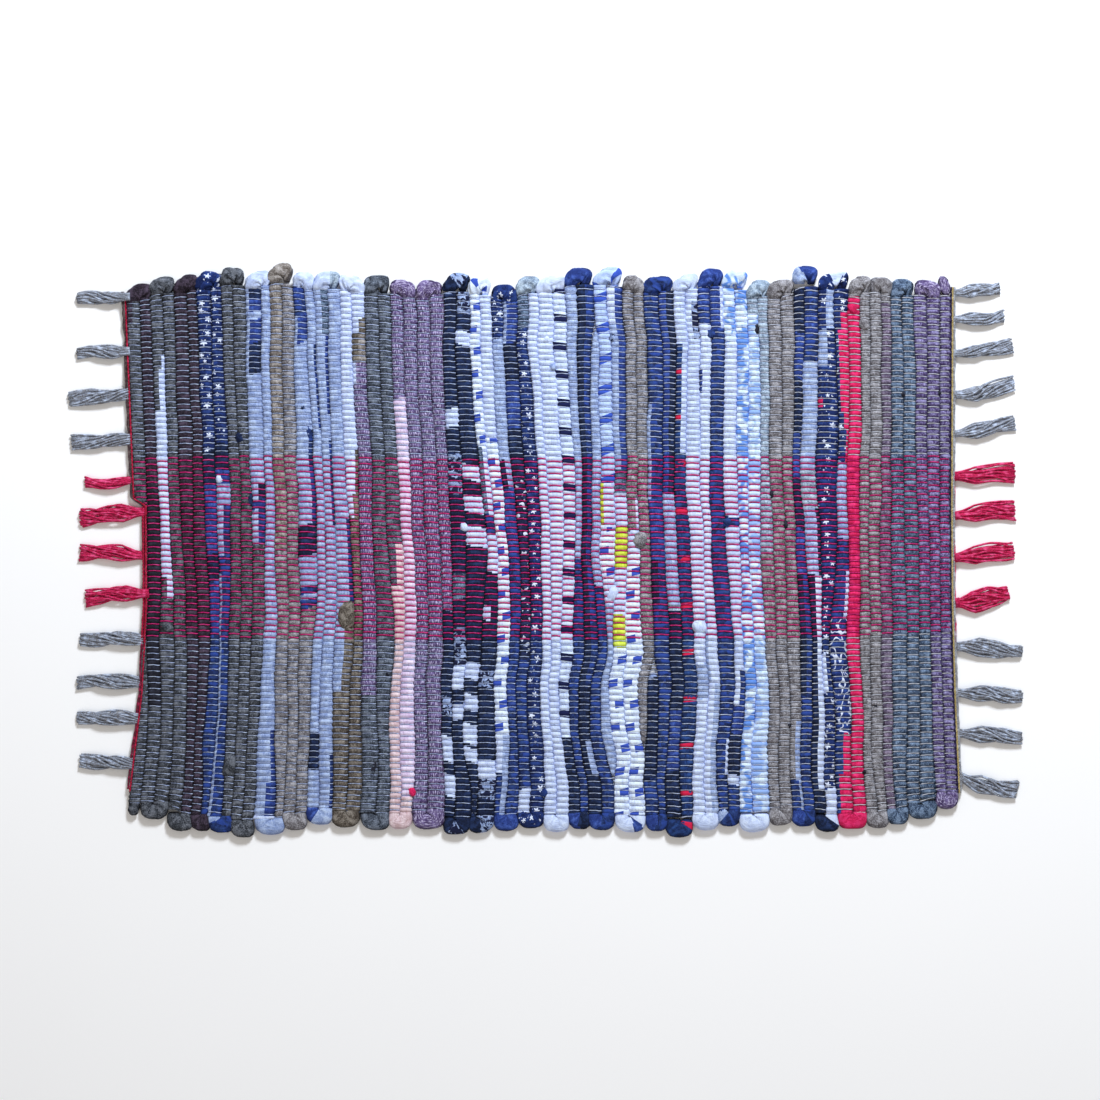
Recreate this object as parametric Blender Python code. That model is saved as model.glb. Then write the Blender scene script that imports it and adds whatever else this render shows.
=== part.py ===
"""Rag rug: a flat woven cloth of rag strips on thin warp threads, with knotted warp tassels.

The rag strips run along Y, turning back at the two long edges, and the warps run along X.
Each end of the cloth has a narrow twined heading, and the warp ends beyond it are knotted
into tassels that lie on the floor. Units are metres, +Z is up, and the rug rests on z = 0.
"""
import bpy
import numpy as np

MM = 0.001

# Driving dimensions
GAP = 0.3 * MM              # clearance between pieces that touch
CLOTH_THICK = 8.0 * MM      # over the crests of the rag strips
EDGE_THICK = 9.2 * MM       # over the turned rags at the long edges
GROOVE_TOP = 1.9 * MM       # depth of the groove between two strips, upper face
GROOVE_UNDER = 1.0 * MM     # the same on the lower face, pressed flatter by the floor
STRIPS = 70                 # rag strips side by side along the cloth
SHOULDERS = (0.25, 0.75)    # where a rib's crest starts and ends, as shares of a strip
TURN_DIP = 7.0 * MM         # how far the edge dips between two turned rags
HEADING_WIDTH = 5.0 * MM
HEADING_THICK = 6.0 * MM
KNOT_LENGTH = 5.0 * MM      # from the heading to the knot's fullest section
KNOT_THICK = 8.5 * MM
KNOT_NECK = 0.68            # width of the knot on the heading, as a share of its full width
KNOT_TOP = 0.8              # width of its top face, likewise
LOCKS = 6                   # locks of yarn in one tassel
LOCK_THICK = 6.0 * MM
LOCK_FILL = 0.74            # width of a lock as a share of its pitch
LOCK_TOP = 0.7              # width of its top face as a share of its own width
LOCK_LOWER = 0.86           # height of every other lock
LOCK_TRIM = 0.05            # the locks are cut up to this share of the tassel shorter
TRIM_LENGTHS = 4            # in so many different lengths
TRIM_STRIDE = 5             # and neighbours are so many of them apart

# Sections of a lock. Columns: place between knot and cut end, the width of the tassel it
# follows, share of that width, share of the lock's thickness.
LOCK_SECTIONS = (
    (0.0, "knot", 0.9, 0.9),
    (0.33, "belly", 0.92, 1.0),
    (0.68, "belly", 1.0, 0.95),
    (1.0, "end", 1.0, 0.7),
)

# Outline of the heading's section. Columns: shares of its width and of its thickness.
HEADING_PROFILE = ((0.0, 0.0), (1.0, 0.0), (1.0, 0.55), (0.72, 1.0), (0.28, 1.0), (0.0, 0.55))

# The two cloth ends. Columns: height along Y, left end's X, near side of the third strip,
# right end's X (mm). The left end steps in where the very first rag strip stops short, and
# the two first strips take up that step between them.
ENDS = (
    (-300, -457.0, -438.0, 450.0),
    (-155, -439.3, -423.0, 443.6),
    (-60, -434.0, -420.0, 441.0),
    (48, -434.8, -420.0, 440.3),
    (56, -448.2, -420.0, 440.3),
    (300, -458.5, -430.4, 441.2),
)
HEIGHT, LEFT, THIRD, RIGHT = range(4)
END_COLUMN = {"left": LEFT, "right": RIGHT}
STEPPED = 2                 # the strips that take up the step

# How far the turned rags reach from the middle of the rug (mm), left to right.
UPPER_TURNS = (
    290, 298, 300, 303, 308, 304, 313, 303, 303, 300, 299, 294,
    294, 302, 298, 291, 294, 299, 304, 309, 309, 299, 299, 301,
    306, 306, 298, 294, 305, 307, 301, 298, 297, 295, 294,
)
LOWER_TURNS = (
    284, 288, 297, 306, 308, 313, 310, 305, 300, 302, 304, 305,
    304, 304, 310, 307, 306, 303, 307, 304, 305, 307, 306, 311,
    306, 303, 306, 305, 300, 303, 307, 304, 303, 299, 293, 283,
)

# Rows of points near a long edge. Columns: distance in from the edge, underside, top (mm).
EDGE_ROWS = (
    (0.0, 3.0, 5.5),
    (4.0, 0.4, 8.8),
    (12.0, 0.0, EDGE_THICK / MM),
)

# Tassels. Columns: height of the knot along Y, tip's X and Y, width at the knot, at the
# belly and at the cut end, and how far the belly swings along Y (mm).
LEFT_TASSELS = (
    (275, -511, 273, 10, 16, 10, 1),
    (216, -511, 214, 11, 16, 10, 1),
    (170, -520, 165, 13, 17, 15, -1),
    (120, -517, 116, 12, 16, 15, 1),
    (76, -502, 73, 10, 12, 15, -2),
    (42, -508, 36, 11, 20, 23, 0),
    (-6, -508, -2, 11, 19, 21, 1),
    (-47, -502, -52, 11, 19, 21, 1),
    (-97, -508, -98, 12, 17, 12, 1),
    (-144, -511, -145, 13, 17, 13, 2),
    (-184, -511, -184, 13, 18, 13, 2),
    (-233, -508, -230, 12, 17, 14, 1),
)
RIGHT_TASSELS = (
    (280, 495, 286, 9, 15, 16, -1),
    (251, 500, 254, 9, 15, 16, -1),
    (214, 509, 224, 10, 16, 16, -2),
    (169, 511, 183, 11, 20, 16, -4),
    (126, 512, 138, 9, 18, 17, 0),
    (80, 512, 85, 12, 18, 24, 0),
    (37, 512, 44, 11, 18, 23, 1),
    (-9, 511, 0, 12, 20, 21, 1),
    (-58, 505, -45, 12, 24, 20, -3),
    (-105, 520, -111, 12, 20, 14, 1),
    (-155, 520, -159, 11, 20, 13, 0),
    (-199, 520, -204, 11, 20, 13, 0),
    (-246, 515, -260, 12, 21, 20, -5),
)
BRIGHT = {"left": range(5, 9), "right": range(6, 10)}   # tassels of magenta warps
HEADING_FROM = -264 * MM
HEADING_TO = {"left": 281 * MM, "right": 286 * MM}


def remove_old_objects():
    for old in list(bpy.data.objects):
        bpy.data.objects.remove(old, do_unlink=True)


def finish_material(name, colour, roughness):
    """A plain Principled finish of one colour."""
    made = bpy.data.materials.new(name)
    made.use_nodes = True
    shader = made.node_tree.nodes["Principled BSDF"]
    shader.inputs["Base Color"].default_value = (*colour, 1.0)
    shader.inputs["Roughness"].default_value = roughness
    shader.inputs["Metallic"].default_value = 0.0
    return made


def add_piece(name, points, faces, finish):
    """Makes one closed mesh object, smooth but for its sharp edges."""
    mesh = bpy.data.meshes.new(name)
    mesh.from_pydata([tuple(map(float, point)) for point in points], [], faces)
    mesh.materials.append(finish)
    mesh.validate()
    mesh.shade_smooth()
    mesh.set_sharp_from_angle(angle=np.radians(50))
    piece = bpy.data.objects.new(name, mesh)
    bpy.context.scene.collection.objects.link(piece)
    return piece


def line_x(y, column):
    """X at height y along one column of ENDS, straight between its rows."""
    heights = [row[HEIGHT] * MM for row in ENDS]
    return np.interp(y, heights, [row[column] * MM for row in ENDS])


def strip_x(strip, y):
    """X of a place counted in strips: the stepped pair first, then even strips to the end."""
    left, third, right = (line_x(y, column) for column in (LEFT, THIRD, RIGHT))
    stepped = left + (third - left) * strip / STEPPED
    even = third + (right - third) * (strip - STEPPED) / (STRIPS - STEPPED)
    return np.where(strip < STEPPED, stepped, even)


def offset_line(side, distance, low, high):
    """The end line between two heights, moved outwards square to itself by a distance."""
    inner = [row[HEIGHT] * MM for row in ENDS if low < row[HEIGHT] * MM < high]
    heights = np.array([low, *inner, high])
    line = np.stack([line_x(heights, END_COLUMN[side]), heights], axis=1)
    run = np.diff(line, axis=0)
    run /= np.linalg.norm(run, axis=1, keepdims=True)
    outward = -1.0 if side == "left" else 1.0
    square = outward * np.stack([run[:, 1], -run[:, 0]], axis=1)
    before = np.vstack([square[:1], square])
    after = np.vstack([square, square[-1:]])
    mitre = before + after
    mitre *= 2.0 / np.sum(mitre * mitre, axis=1, keepdims=True)
    return line + mitre * distance


def turned_edge(strip, bounds, reaches):
    """Edge height and roundness where turned rags lie side by side along the cloth.

    Within one turn the edge is an arch: chord + rise * sqrt(1 - q * q), q from -1 to 1.
    """
    reaches = np.array(reaches) * MM
    between = np.minimum(reaches[:-1], reaches[1:])
    dips = np.array([reaches[0], *between, reaches[-1]]) - TURN_DIP
    turn = np.clip(np.searchsorted(bounds, strip, side="right") - 1, 0, len(reaches) - 1)
    start, stop = bounds[turn], bounds[turn + 1]
    share = (strip - start) / (stop - start)
    arch = np.sqrt(np.maximum(0.0, 1.0 - (2.0 * share - 1.0) ** 2))
    chord = dips[turn] + (dips[turn + 1] - dips[turn]) * share
    return chord + (reaches[turn] - chord) * arch, arch


def build_cloth(finish):
    """The woven field: one slab whose two faces carry a rounded rib for each strip."""
    within = np.array([0.0, *SHOULDERS])
    strip = np.append((np.arange(STRIPS)[:, None] + within).ravel(), float(STRIPS))
    dip = np.append(np.tile([1.0, 0.0, 0.0], STRIPS), 1.0)
    upper_bounds = np.arange(0, STRIPS + 1, 2)
    lower_bounds = np.array([0, *range(1, STRIPS, 2), STRIPS])
    upper, upper_arch = turned_edge(strip, upper_bounds, UPPER_TURNS)
    lower, lower_arch = turned_edge(strip, lower_bounds, LOWER_TURNS)

    rows = []
    for inset, under, top in EDGE_ROWS:
        rows.append((-lower + inset * MM, under * MM, top * MM, lower_arch, inset))
    for height in (row[HEIGHT] * MM for row in ENDS[1:-1]):
        rows.append((np.full_like(strip, height), 0.0, CLOTH_THICK, None, None))
    for inset, under, top in reversed(EDGE_ROWS):
        rows.append((upper - inset * MM, under * MM, top * MM, upper_arch, inset))

    last_inset = EDGE_ROWS[-1][0]
    tops, unders = [], []
    for y, under, top, arch, inset in rows:
        x = strip_x(strip, y)
        ribbed = arch is None or inset == last_inset
        drop = dip if ribbed else 1.0 - arch
        lift = GROOVE_UNDER * dip * ribbed
        tops.append(np.stack([x, y, top - GROOVE_TOP * drop], axis=1))
        unders.append(np.stack([x, y, under + lift], axis=1))

    columns, count = len(strip), len(rows)
    layer = columns * count
    points = np.vstack(tops + unders)
    faces = []
    for row in range(count - 1):
        for column in range(columns - 1):
            a = row * columns + column
            b, c, d = a + 1, a + columns + 1, a + columns
            faces.append((a, b, c, d))
            faces.append((a + layer, d + layer, c + layer, b + layer))
    rim = list(range(columns))
    rim += [row * columns + columns - 1 for row in range(1, count)]
    rim += [(count - 1) * columns + column for column in range(columns - 2, -1, -1)]
    rim += [row * columns for row in range(count - 2, 0, -1)]
    for here, there in zip(rim, rim[1:] + rim[:1]):
        faces.append((here, here + layer, there + layer, there))
    return add_piece("rag_field", points, faces, finish)


def build_heading(side, low, high, finish):
    """A twined heading along one cloth end: a flat-bottomed strip with a rounded top."""
    rings = []
    for across, up in HEADING_PROFILE:
        line = offset_line(side, GAP + across * HEADING_WIDTH, low, high)
        rise = np.full(len(line), up * HEADING_THICK)
        rings.append(np.column_stack([line, rise]))
    points = np.stack(rings, axis=1).reshape(-1, 3)
    sides, sections = len(HEADING_PROFILE), len(rings[0])
    last = sides * (sections - 1)
    faces = [tuple(range(sides)), tuple(range(last + sides - 1, last - 1, -1))]
    for section in range(sections - 1):
        for edge in range(sides):
            a = section * sides + edge
            b = section * sides + (edge + 1) % sides
            faces.append((a, a + sides, b + sides, b))
    if side == "left":
        faces = [face[::-1] for face in faces]
    return add_piece("heading_" + side, points, faces, finish)


class TasselLine:
    """Places points by distance ahead of the seat, aside of the middle line and height."""

    def __init__(self, row, seat):
        self.knot_y, tip_x, tip_y, knot, belly, end, self.swing = np.array(row) * MM
        self.width = {"knot": knot, "belly": belly, "end": end}
        self.seat = seat
        self.start = np.array([self.seat_x(self.knot_y), self.knot_y])
        run = np.array([tip_x, tip_y]) - self.start
        self.length = np.linalg.norm(run)
        self.along = run / self.length
        self.across = np.array([-self.along[1], self.along[0]])
        self.outward = np.sign(self.along[0])

    def seat_x(self, y):
        return np.interp(y, self.seat[:, 1], self.seat[:, 0])

    def on_seat(self, aside, height):
        y = self.knot_y + aside * self.outward
        return (self.seat_x(y), y, height)

    def place(self, ahead, aside, height):
        share = np.clip(ahead / self.length, 0.0, 1.0)
        sway = self.swing * self.outward * np.sin(np.pi * share)
        x, y = self.start + self.along * ahead + self.across * (aside + sway)
        return (x, y, height)


def knot_points(line):
    """Back of the knot, four points on the heading, then its fullest section."""
    half = 0.5 * line.width["knot"]
    neck, brow = KNOT_NECK * half, KNOT_TOP * half
    back = ((-neck, 0.0), (neck, 0.0), (neck, HEADING_THICK), (-neck, HEADING_THICK))
    full = ((-half, 0.0), (half, 0.0), (brow, KNOT_THICK), (-brow, KNOT_THICK))
    points = [line.on_seat(aside, height) for aside, height in back]
    return points + [line.place(KNOT_LENGTH, aside, height) for aside, height in full]


def lock_points(line, lock, cut):
    """Four-sided sections of one lock, flat on the floor.

    Every lock keeps its own lane: its middle is (number - middle number) * pitch across the
    tassel, and the pitch swells from the knot to the belly and narrows to the cut end.
    """
    front = 2.0 * KNOT_LENGTH
    lower = LOCK_LOWER if lock % 2 else 1.0
    points = []
    for place, follows, share, rise in LOCK_SECTIONS:
        ahead = front + place * (line.length * cut - front)
        pitch = share * line.width[follows] / LOCKS
        middle = (lock - (LOCKS - 1) / 2.0) * pitch
        half = 0.5 * LOCK_FILL * pitch
        up = LOCK_THICK * rise * (lower if place else 1.0)
        points.append(line.place(ahead, middle - half, 0.0))
        points.append(line.place(ahead, middle + half, 0.0))
        points.append(line.place(ahead, middle + LOCK_TOP * half, up))
        points.append(line.place(ahead, middle - LOCK_TOP * half, up))
    return points


def lock_faces(first):
    """Sides and cut end of one lock whose points start at a number."""
    faces = []
    for step in range(len(LOCK_SECTIONS) - 1):
        a = first + 4 * step
        for edge in range(4):
            b = a + (edge + 1) % 4
            faces.append((a + edge, b, b + 4, a + edge + 4))
    last = first + 4 * (len(LOCK_SECTIONS) - 1)
    faces.append((last, last + 1, last + 2, last + 3))
    return faces


def build_tassel(name, number, row, seat, finish):
    """A knot seated on the heading, and the locks that grow out of its front."""
    line = TasselLine(row, seat)
    points = knot_points(line)
    faces = [(3, 2, 1, 0), (1, 2, 6, 5), (3, 0, 4, 7), (2, 3, 7, 6), (0, 1, 5, 4)]
    firsts = []
    for lock in range(LOCKS):
        trim = (lock * TRIM_STRIDE + number) % TRIM_LENGTHS / (TRIM_LENGTHS - 1)
        firsts.append(len(points))
        points += lock_points(line, lock, 1.0 - LOCK_TRIM * trim)
        faces += lock_faces(firsts[-1])
    for here, there in zip(firsts, firsts[1:]):
        faces.append((here + 1, there, there + 3, here + 2))
    lows = [first + corner for first in firsts for corner in (0, 1)]
    highs = [first + corner for first in firsts for corner in (3, 2)]
    faces.append((4, 5, *lows[::-1]))
    faces.append((6, 7, *highs))
    faces.append((5, 6, highs[-1], lows[-1]))
    faces.append((7, 4, lows[0], highs[0]))
    return add_piece(name, points, faces, finish)


def build_rug():
    remove_old_objects()
    cloth = finish_material("mixed cotton rags", (0.24, 0.26, 0.36), 0.9)
    crimson = finish_material("crimson twine", (0.50, 0.02, 0.06), 0.85)
    straw = finish_material("straw twine", (0.52, 0.42, 0.20), 0.85)
    grey = finish_material("grey warp cotton", (0.30, 0.34, 0.42), 0.85)
    magenta = finish_material("magenta warp cotton", (0.58, 0.02, 0.14), 0.85)

    build_cloth(cloth)
    for side, table, twine in (("left", LEFT_TASSELS, crimson), ("right", RIGHT_TASSELS, straw)):
        low, high = HEADING_FROM, HEADING_TO[side]
        build_heading(side, low, high, twine)
        seat = offset_line(side, GAP + HEADING_WIDTH + GAP, low, high)
        for number, row in enumerate(table, start=1):
            name = "tassel_{}_{:02d}".format(side, number)
            build_tassel(name, number, row, seat, magenta if number in BRIGHT[side] else grey)


build_rug()
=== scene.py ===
import bpy
import numpy as np
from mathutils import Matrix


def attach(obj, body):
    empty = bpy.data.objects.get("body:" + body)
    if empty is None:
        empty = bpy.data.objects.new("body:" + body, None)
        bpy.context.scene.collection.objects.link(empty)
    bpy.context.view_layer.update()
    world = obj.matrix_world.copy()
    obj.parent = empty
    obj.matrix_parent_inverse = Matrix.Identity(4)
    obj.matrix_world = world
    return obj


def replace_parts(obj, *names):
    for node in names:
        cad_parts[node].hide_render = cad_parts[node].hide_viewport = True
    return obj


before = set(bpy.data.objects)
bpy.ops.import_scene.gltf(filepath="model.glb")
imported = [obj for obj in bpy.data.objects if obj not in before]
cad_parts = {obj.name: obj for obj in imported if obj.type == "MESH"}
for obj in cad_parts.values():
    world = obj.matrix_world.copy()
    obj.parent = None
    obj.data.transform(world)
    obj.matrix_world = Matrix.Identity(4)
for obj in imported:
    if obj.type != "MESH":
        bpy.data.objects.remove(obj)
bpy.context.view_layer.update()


# --- Rag strips ------------------------------------------------------------------------
# The body of the rug is strips torn from worn cotton clothes, knotted end to end and laid
# back and forth between the warps. Each pass swells into beads between the warps that cross
# over it, and at the long edges the strip folds round the outermost warp.
MM = 0.001
UPPER_EDGE = 300.0           # distances down the rug are counted from this height (mm)
RAG_RISE = 4.0               # half the thickness of a bead (mm)
BEAD_DIP = 0.56              # how far a warp sinks into the rag it crosses, as a share
SHOULDER = 0.42              # from a crossing warp to the bead's shoulder, in warps
SHOULDER_DIP = 0.19          # how much lower than the crest the shoulder is, as a share
BEAD_SWELL = 0.1             # how much wider than its pass a bead is, as a share
PRESSED = 1.05               # how far beads press into the next pass, as a share of the width
RAG_MIDDLE = 1.06 * RAG_RISE # height of a pass's middle above the floor (mm)
UNDER_REACH = 0.6            # from a warp that passes under to the end of its dent, in warps
PAST_WARPS = 3.0             # how far a pass runs on beyond the outermost warp (mm)
WIDTH_WANDER, RISE_WANDER = 0.07, 0.08   # how unevenly wide and thick a pass is, as shares
SIDE_WANDER = 0.4            # how far its middle strays (mm)
FOLD_REACH = 18.0            # from the point that a strip turns round to the edge (mm)
FOLD_RISE = 4.2              # half the thickness of a turned strip (mm)
FOLD_MIDDLE = 4.3            # height of its middle above the floor where it isn't raised (mm)
FOLD_TUCK = 9.0              # how fast its ends run in under the passes (mm a radian)
FOLD_ARC = 13.0              # length of cloth in the turn (mm a radian)

# How the strip turns at the upper edge, where it is twisted over itself, and at the lower
# one, where it lies flat. Columns: half its width half way round (mm), width of its arms as a
# share of the pass, power that squares the turn (below 1 is squarer), how much higher its
# middle lies (mm), depth of its pleats as a share of its thickness, how much wider one arm is
# than the other, as a share.
TURNS = {"upper": (8.7, 0.95, 0.75, 2.4, 0.5, 0.34), "lower": (9.2, 1.04, 0.75, 0.0, 0.1, 0.1)}

# The cloth's two ends. Columns: distance down, x of the left end, x of the right end (mm).
CLOTH_ENDS = np.array((
    (0, -458.5, 441.2),
    (244, -448.2, 440.3),
    (252, -434.8, 440.3),
    (360, -434.0, 441.0),
    (455, -439.3, 443.6),
    (600, -457.0, 450.0),
))

# The warps lie a little closer in the upper part. Columns: warp number, distance down (mm).
WARP_PLACES = np.array(((0, 18.5), (59, 198.5), (120, 396.0), (178, 582.0)))
WARPS = 179

# Width of the leftmost pass, which stops at the step in the left end and starts again lower
# down. Columns: distance down, width (mm).
FIRST_PASS = np.array((
    (0, 15.5), (244, 14.5), (252, 1.5), (395, 1.5), (455, 7.0), (509, 12.5), (600, 13.0),
))

# Passes that start or stop inside the cloth. Columns: number, distance down where nothing
# of it is left, distance where it has its full width (mm).
SHORT_PASSES = ((38, 52, 74), (39, 552, 532), (42, 518, 500), (43, 418, 442))

# Every pass from left to right: its width at the six distances of LEVELS, how far the fold
# that it ends in reaches from the middle of the rug and the cloths on top there, and the
# pass's own cloths from the upper edge down, with the distance at which each gives way to
# the next (mm). "a|b" lie side by side, "a>b" shows a sliver of b at the right of a, and
# "a<b" a sliver of a at the left of b.
LEVELS = (27, 206, 302, 398, 509, 570)
PASSES = (
    (15.5, 15.5, 1.5, 1.5, 12.5, 13, 290, "plum", "plum|grey 55 grey"),
    (12, 12.5, 15, 13.5, 15, 14, 293, "grey", "plum 229 dusk 470 grey"),
    (14, 11, 10.5, 16.5, 12.5, 16.5, 298, "grey",
     "grey 88 grey>white 105 grey|white 150 white 330 grey|white 354 grey"),
    (12.5, 11.5, 13.5, 13, 15, 15, 306, "grey", "grey"),
    (13.5, 17, 11.5, 13.5, 9, 11, 300, "plum", "plum"),
    (10, 11, 14, 13, 8.5, 11, 306, "plum", "plum"),
    (16, 13, 12.5, 10.5, 14, 7, 303, "stars",
     "stars 193 black 229 royal 305 black 336 royal 382 navy"),
    (12, 15, 13.5, 10, 10.5, 15, 308, "navy 34 light",
     "stars 185 black 213 royal 229 light 251 light|navy 307 navy 327 light<navy"),
    (12.5, 11, 11, 13, 11, 10, 308, "grey", "grey"),
    (14, 11, 13, 12, 12.5, 12, 313, "grey", "grey"),
    (16.5, 16.5, 14, 13, 11, 12.5, 304, "lilac",
     "lilac 14 light<black 28 light<royal 42 light 50 light<royal 76 light<black 109 "
     "light 229 light|black 247 royal 256 light|navy 294 grey"),
    (9.5, 9.5, 11, 13.5, 18.5, 23, 310, "light",
     "light 496 light>royal 554 light|royal 590 white"),
    (12.5, 12.5, 13, 13, 14.5, 8.5, 312, "tan", "tan 300 taupe"),
    (12.5, 13, 12, 12.5, 11, 13.5, 305, "taupe", "taupe"),
    (12, 18.5, 20.5, 15.5, 12.5, 12.5, 303, "lilac",
     "royal 30 navy 45 light<royal 76 light 172 light>navy 273 black 307 light 340 navy 349 "
     "light 354 navy 364 taupe"),
    (10, 9.5, 8.5, 10.5, 10, 13.5, 299, "light 26 royal",
     "light 76 light>navy 169 light 499 black 540 light"),
    (15.5, 10, 11.5, 13, 15.5, 15.5, 303, "lilac 20 ash",
     "light|slate 65 light>royal 153 light 180 light>navy 273 light 520 light>navy 585 light"),
    (13.5, 13.5, 16.5, 22, 17.5, 15, 302, "brown",
     "light 267 light>navy 360 light|brown 455 brown"),
    (11.5, 14.5, 9, 9, 14, 15.5, 300, "white", "white 190 white>brown 240 white|brown 266 brown"),
    (14.5, 14.5, 15, 14.5, 18.5, 17, 305, "iron",
     "white 49 white|brown 65 brown|tan 98 white<purple 120 purple 458 iron"),
    (14.5, 14, 16.5, 20, 11, 14.5, 299, "iron", "iron"),
    (13.5, 14, 17, 10, 11, 11.5, 304, "peach", "iron 294 iron|peach 340 peach"),
    (13, 14, 11, 13.5, 17, 12, 294, "purple", "purple 136 pink 569 peach"),
    (14.5, 14.5, 13, 13.5, 13.5, 15.5, 304, "purple", "purple"),
    (14.5, 15.5, 15.5, 16, 15.5, 19.5, 294, "purple", "purple"),
    (16, 12, 12, 11.5, 12, 11, 310, "black 14 sprig 26 black",
     "purple 367 black 460 sprig 480 black 503 white 531 black 545 white 569 black"),
    (13.5, 15, 16.5, 12.5, 12, 17.5, 302, "black 12 sprig 28 black",
     "sprig 22 black 147 white 167 black 196 sprig 240 black 327 slate 354 black 385 sprig 426 "
     "white 452 black 469 white 485 black"),
    (14.5, 18.5, 24, 17, 15.5, 6.5, 308, "sprig 20 black",
     "sprig 44 black 63 white 78 black 208 white 225 black 242 white 260 black 276 white 297 "
     "black 423 white 441 black 458 white 475 black 490 white 512 black 516 white 531 black"),
    (11, 9.5, 11, 17.5, 19, 19.5, 298, "spots",
     "spots 190 slate|white 262 navy 283 white 325 black 362 white|black 378 black 431 sprig 450 "
     "black 529 white 550 sprig 572 black"),
    (12, 12.5, 11.5, 14, 15, 12, 306, "royal", "white 180 spots 503 white|light 543 navy|light"),
    (13, 12, 13, 11.5, 9, 14, 289, "stars",
     "stars 71 light 202 black|light 234 royal 294 navy 440 royal 475 navy"),
    (15.5, 15, 9.5, 11.5, 12.5, 13, 303, "stars",
     "light<royal 76 black 117 royal 169 black 220 print 420 navy 561 white"),
    (12, 15, 13.5, 13, 16.5, 15.5, 298, "ash", "slate 60 stars"),
    (11, 9, 10, 10, 9.5, 13, 307, "white", "white"),
    (16.5, 18, 14, 10.5, 11, 13, 300, "white", "white"),
    (14, 13, 13, 13.5, 9.5, 12, 304, "black 22 royal", "dash 505 black"),
    (12, 7.5, 6.5, 12, 9, 9, 308, "royal", "light 311 navy"),
    (18.5, 11, 10.5, 15, 11.5, 15.5, 305, "navy 20 royal",
     "black|navy 450 black 509 black|light 545 black"),
    (8.5, 9.5, 9, 9, 13, 14, 0, "", "light 340 navy"),
    (13.5, 14.5, 17, 6, 11.5, 10, 308, "bands",
     "bands 229 yellow<white 276 spots 332 white 360 light"),
    (17.5, 13.5, 13.5, 14, 16.5, 15.5, 307, "white 6 royal 16 white",
     "white|royal 55 light|royal 213 slate 240 white 275 yellow 320 white 371 yellow 407 spots"),
    (12, 11.5, 13, 18.5, 14.5, 17, 299, "taupe", "taupe 245 taupe>white 280 white 305 spots"),
    (11, 11.5, 12, 12.5, 8, 8, 0, "", "taupe"),
    (12, 12, 12, 12, 12, 15, 306, "navy 20 royal", "light 440 black 550 navy"),
    (16.5, 16.5, 16.5, 16.5, 11, 8, 299, "navy",
     "navy 141 light<navy 245 royal 311 black|navy 360 navy"),
    (16.5, 12, 13, 14.5, 13, 16.5, 313, "flag",
     "royal|black 240 light 360 ash 367 black 475 royal 540 black"),
    (13, 12, 15, 13, 16.5, 13, 301, "lilac", "lilac 76 flag|lilac 196 flag"),
    (13, 15, 14.5, 13, 11.5, 13, 305, "white",
     "lilac 30 lilac|sprig 72 lilac 190 white 425 light 463 white"),
    (13, 11, 7.5, 13.5, 12.5, 15, 306, "royal",
     "royal 40 navy 55 white 104 royal<white 131 white 354 light<white 445 white|light"),
    (14, 15.5, 16.5, 18, 13.5, 11.5, 301, "navy 28 light",
     "royal>white 60 navy 507 navy>white 545 navy"),
    (12, 15.5, 15.5, 9.5, 14, 13, 306, "tiedye",
     "tiedye 76 white 265 navy 275 lilac 431 white|navy 469 royal 501 black 545 white 556 navy"),
    (14, 12, 8.5, 12.5, 11, 13.5, 307, "white", "tiedye"),
    (12, 13.5, 12.5, 12, 16.5, 18.5, 294, "ash", "ash 44 cloud"),
    (11.5, 9, 15, 11.5, 12, 11, 300, "taupe", "ash 305 taupe"),
    (13.5, 14.5, 13, 11.5, 12, 12.5, 294, "taupe", "taupe"),
    (14, 11.5, 11.5, 14.5, 11, 12.5, 301, "navy 20 royal", "taupe 487 taupe|light 550 navy>light"),
    (11, 8, 11, 13.5, 12, 11, 310, "light 14 royal",
     "black 65 royal 114 black 174 royal 223 black 278 royal 327 black|navy 460 navy"),
    (15.5, 16.5, 17, 10, 14.5, 12.5, 307, "white 6 black",
     "navy 44 royal 65 navy 95 light 213 ash 256 light>black 328 black|white 560 black"),
    (17, 24.5, 16, 8.5, 11.5, 12, 303, "stars 14 lilac 24 stars",
     "stars|light 60 light|stars 100 stars 134 red<stars 145 stars 412 white|stars 455 "
     "stars 560 white"),
    (17, 9.5, 12.5, 20, 17, 17.5, 304, "red",
     "stars 42 stars|red 62 stars<red 150 stars|red 168 stars>red 205 light 289 navy 322 "
     "navy>white 376 swirls 500 navy|red 545 navy<red"),
    (12.5, 14, 13, 14, 13.5, 14.5, 298, "taupe", "taupe 25 red"),
    (10.5, 10, 10, 11, 8.5, 12.5, 303, "taupe", "taupe"),
    (11.5, 13, 13, 11, 14, 10, 298, "taupe", "taupe"),
    (11, 10, 12, 13, 9.5, 10, 299, "slate", "taupe 33 mauve"),
    (12, 13.5, 14, 16.5, 16, 13, 295, "slate", "slate"),
    (13, 13.5, 15.5, 13, 14, 14, 293, "slate", "slate"),
    (14, 12.5, 12, 12, 13.5, 18.5, 294, "purple", "violet 340 slate"),
    (14, 14, 11, 11.5, 12.5, 11, 282, "purple", "violet"),
    (12, 11.5, 11.5, 11.5, 12, 12, 294, "", "violet"),
)
REACH, FOLD_CLOTH, CLOTHS = 6, 7, 8

# The pieces of mesh that the passes are made in: first and last pass.
RAG_PIECES = {
    "rags_left": (0, 19), "rags_left_middle": (20, 38), "rags_right_middle": (39, 55),
    "rags_right": (56, 68),
}

# Tapered ends inside the cloth. Columns: pass, distances down between which it lies (mm).
# Every other pass runs from one long edge to the other.
RUNS = ((0, -9, 249), (0, 405, 609), (38, 62, 609), (39, -9, 541), (42, -9, 508), (43, 430, 609))



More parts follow.
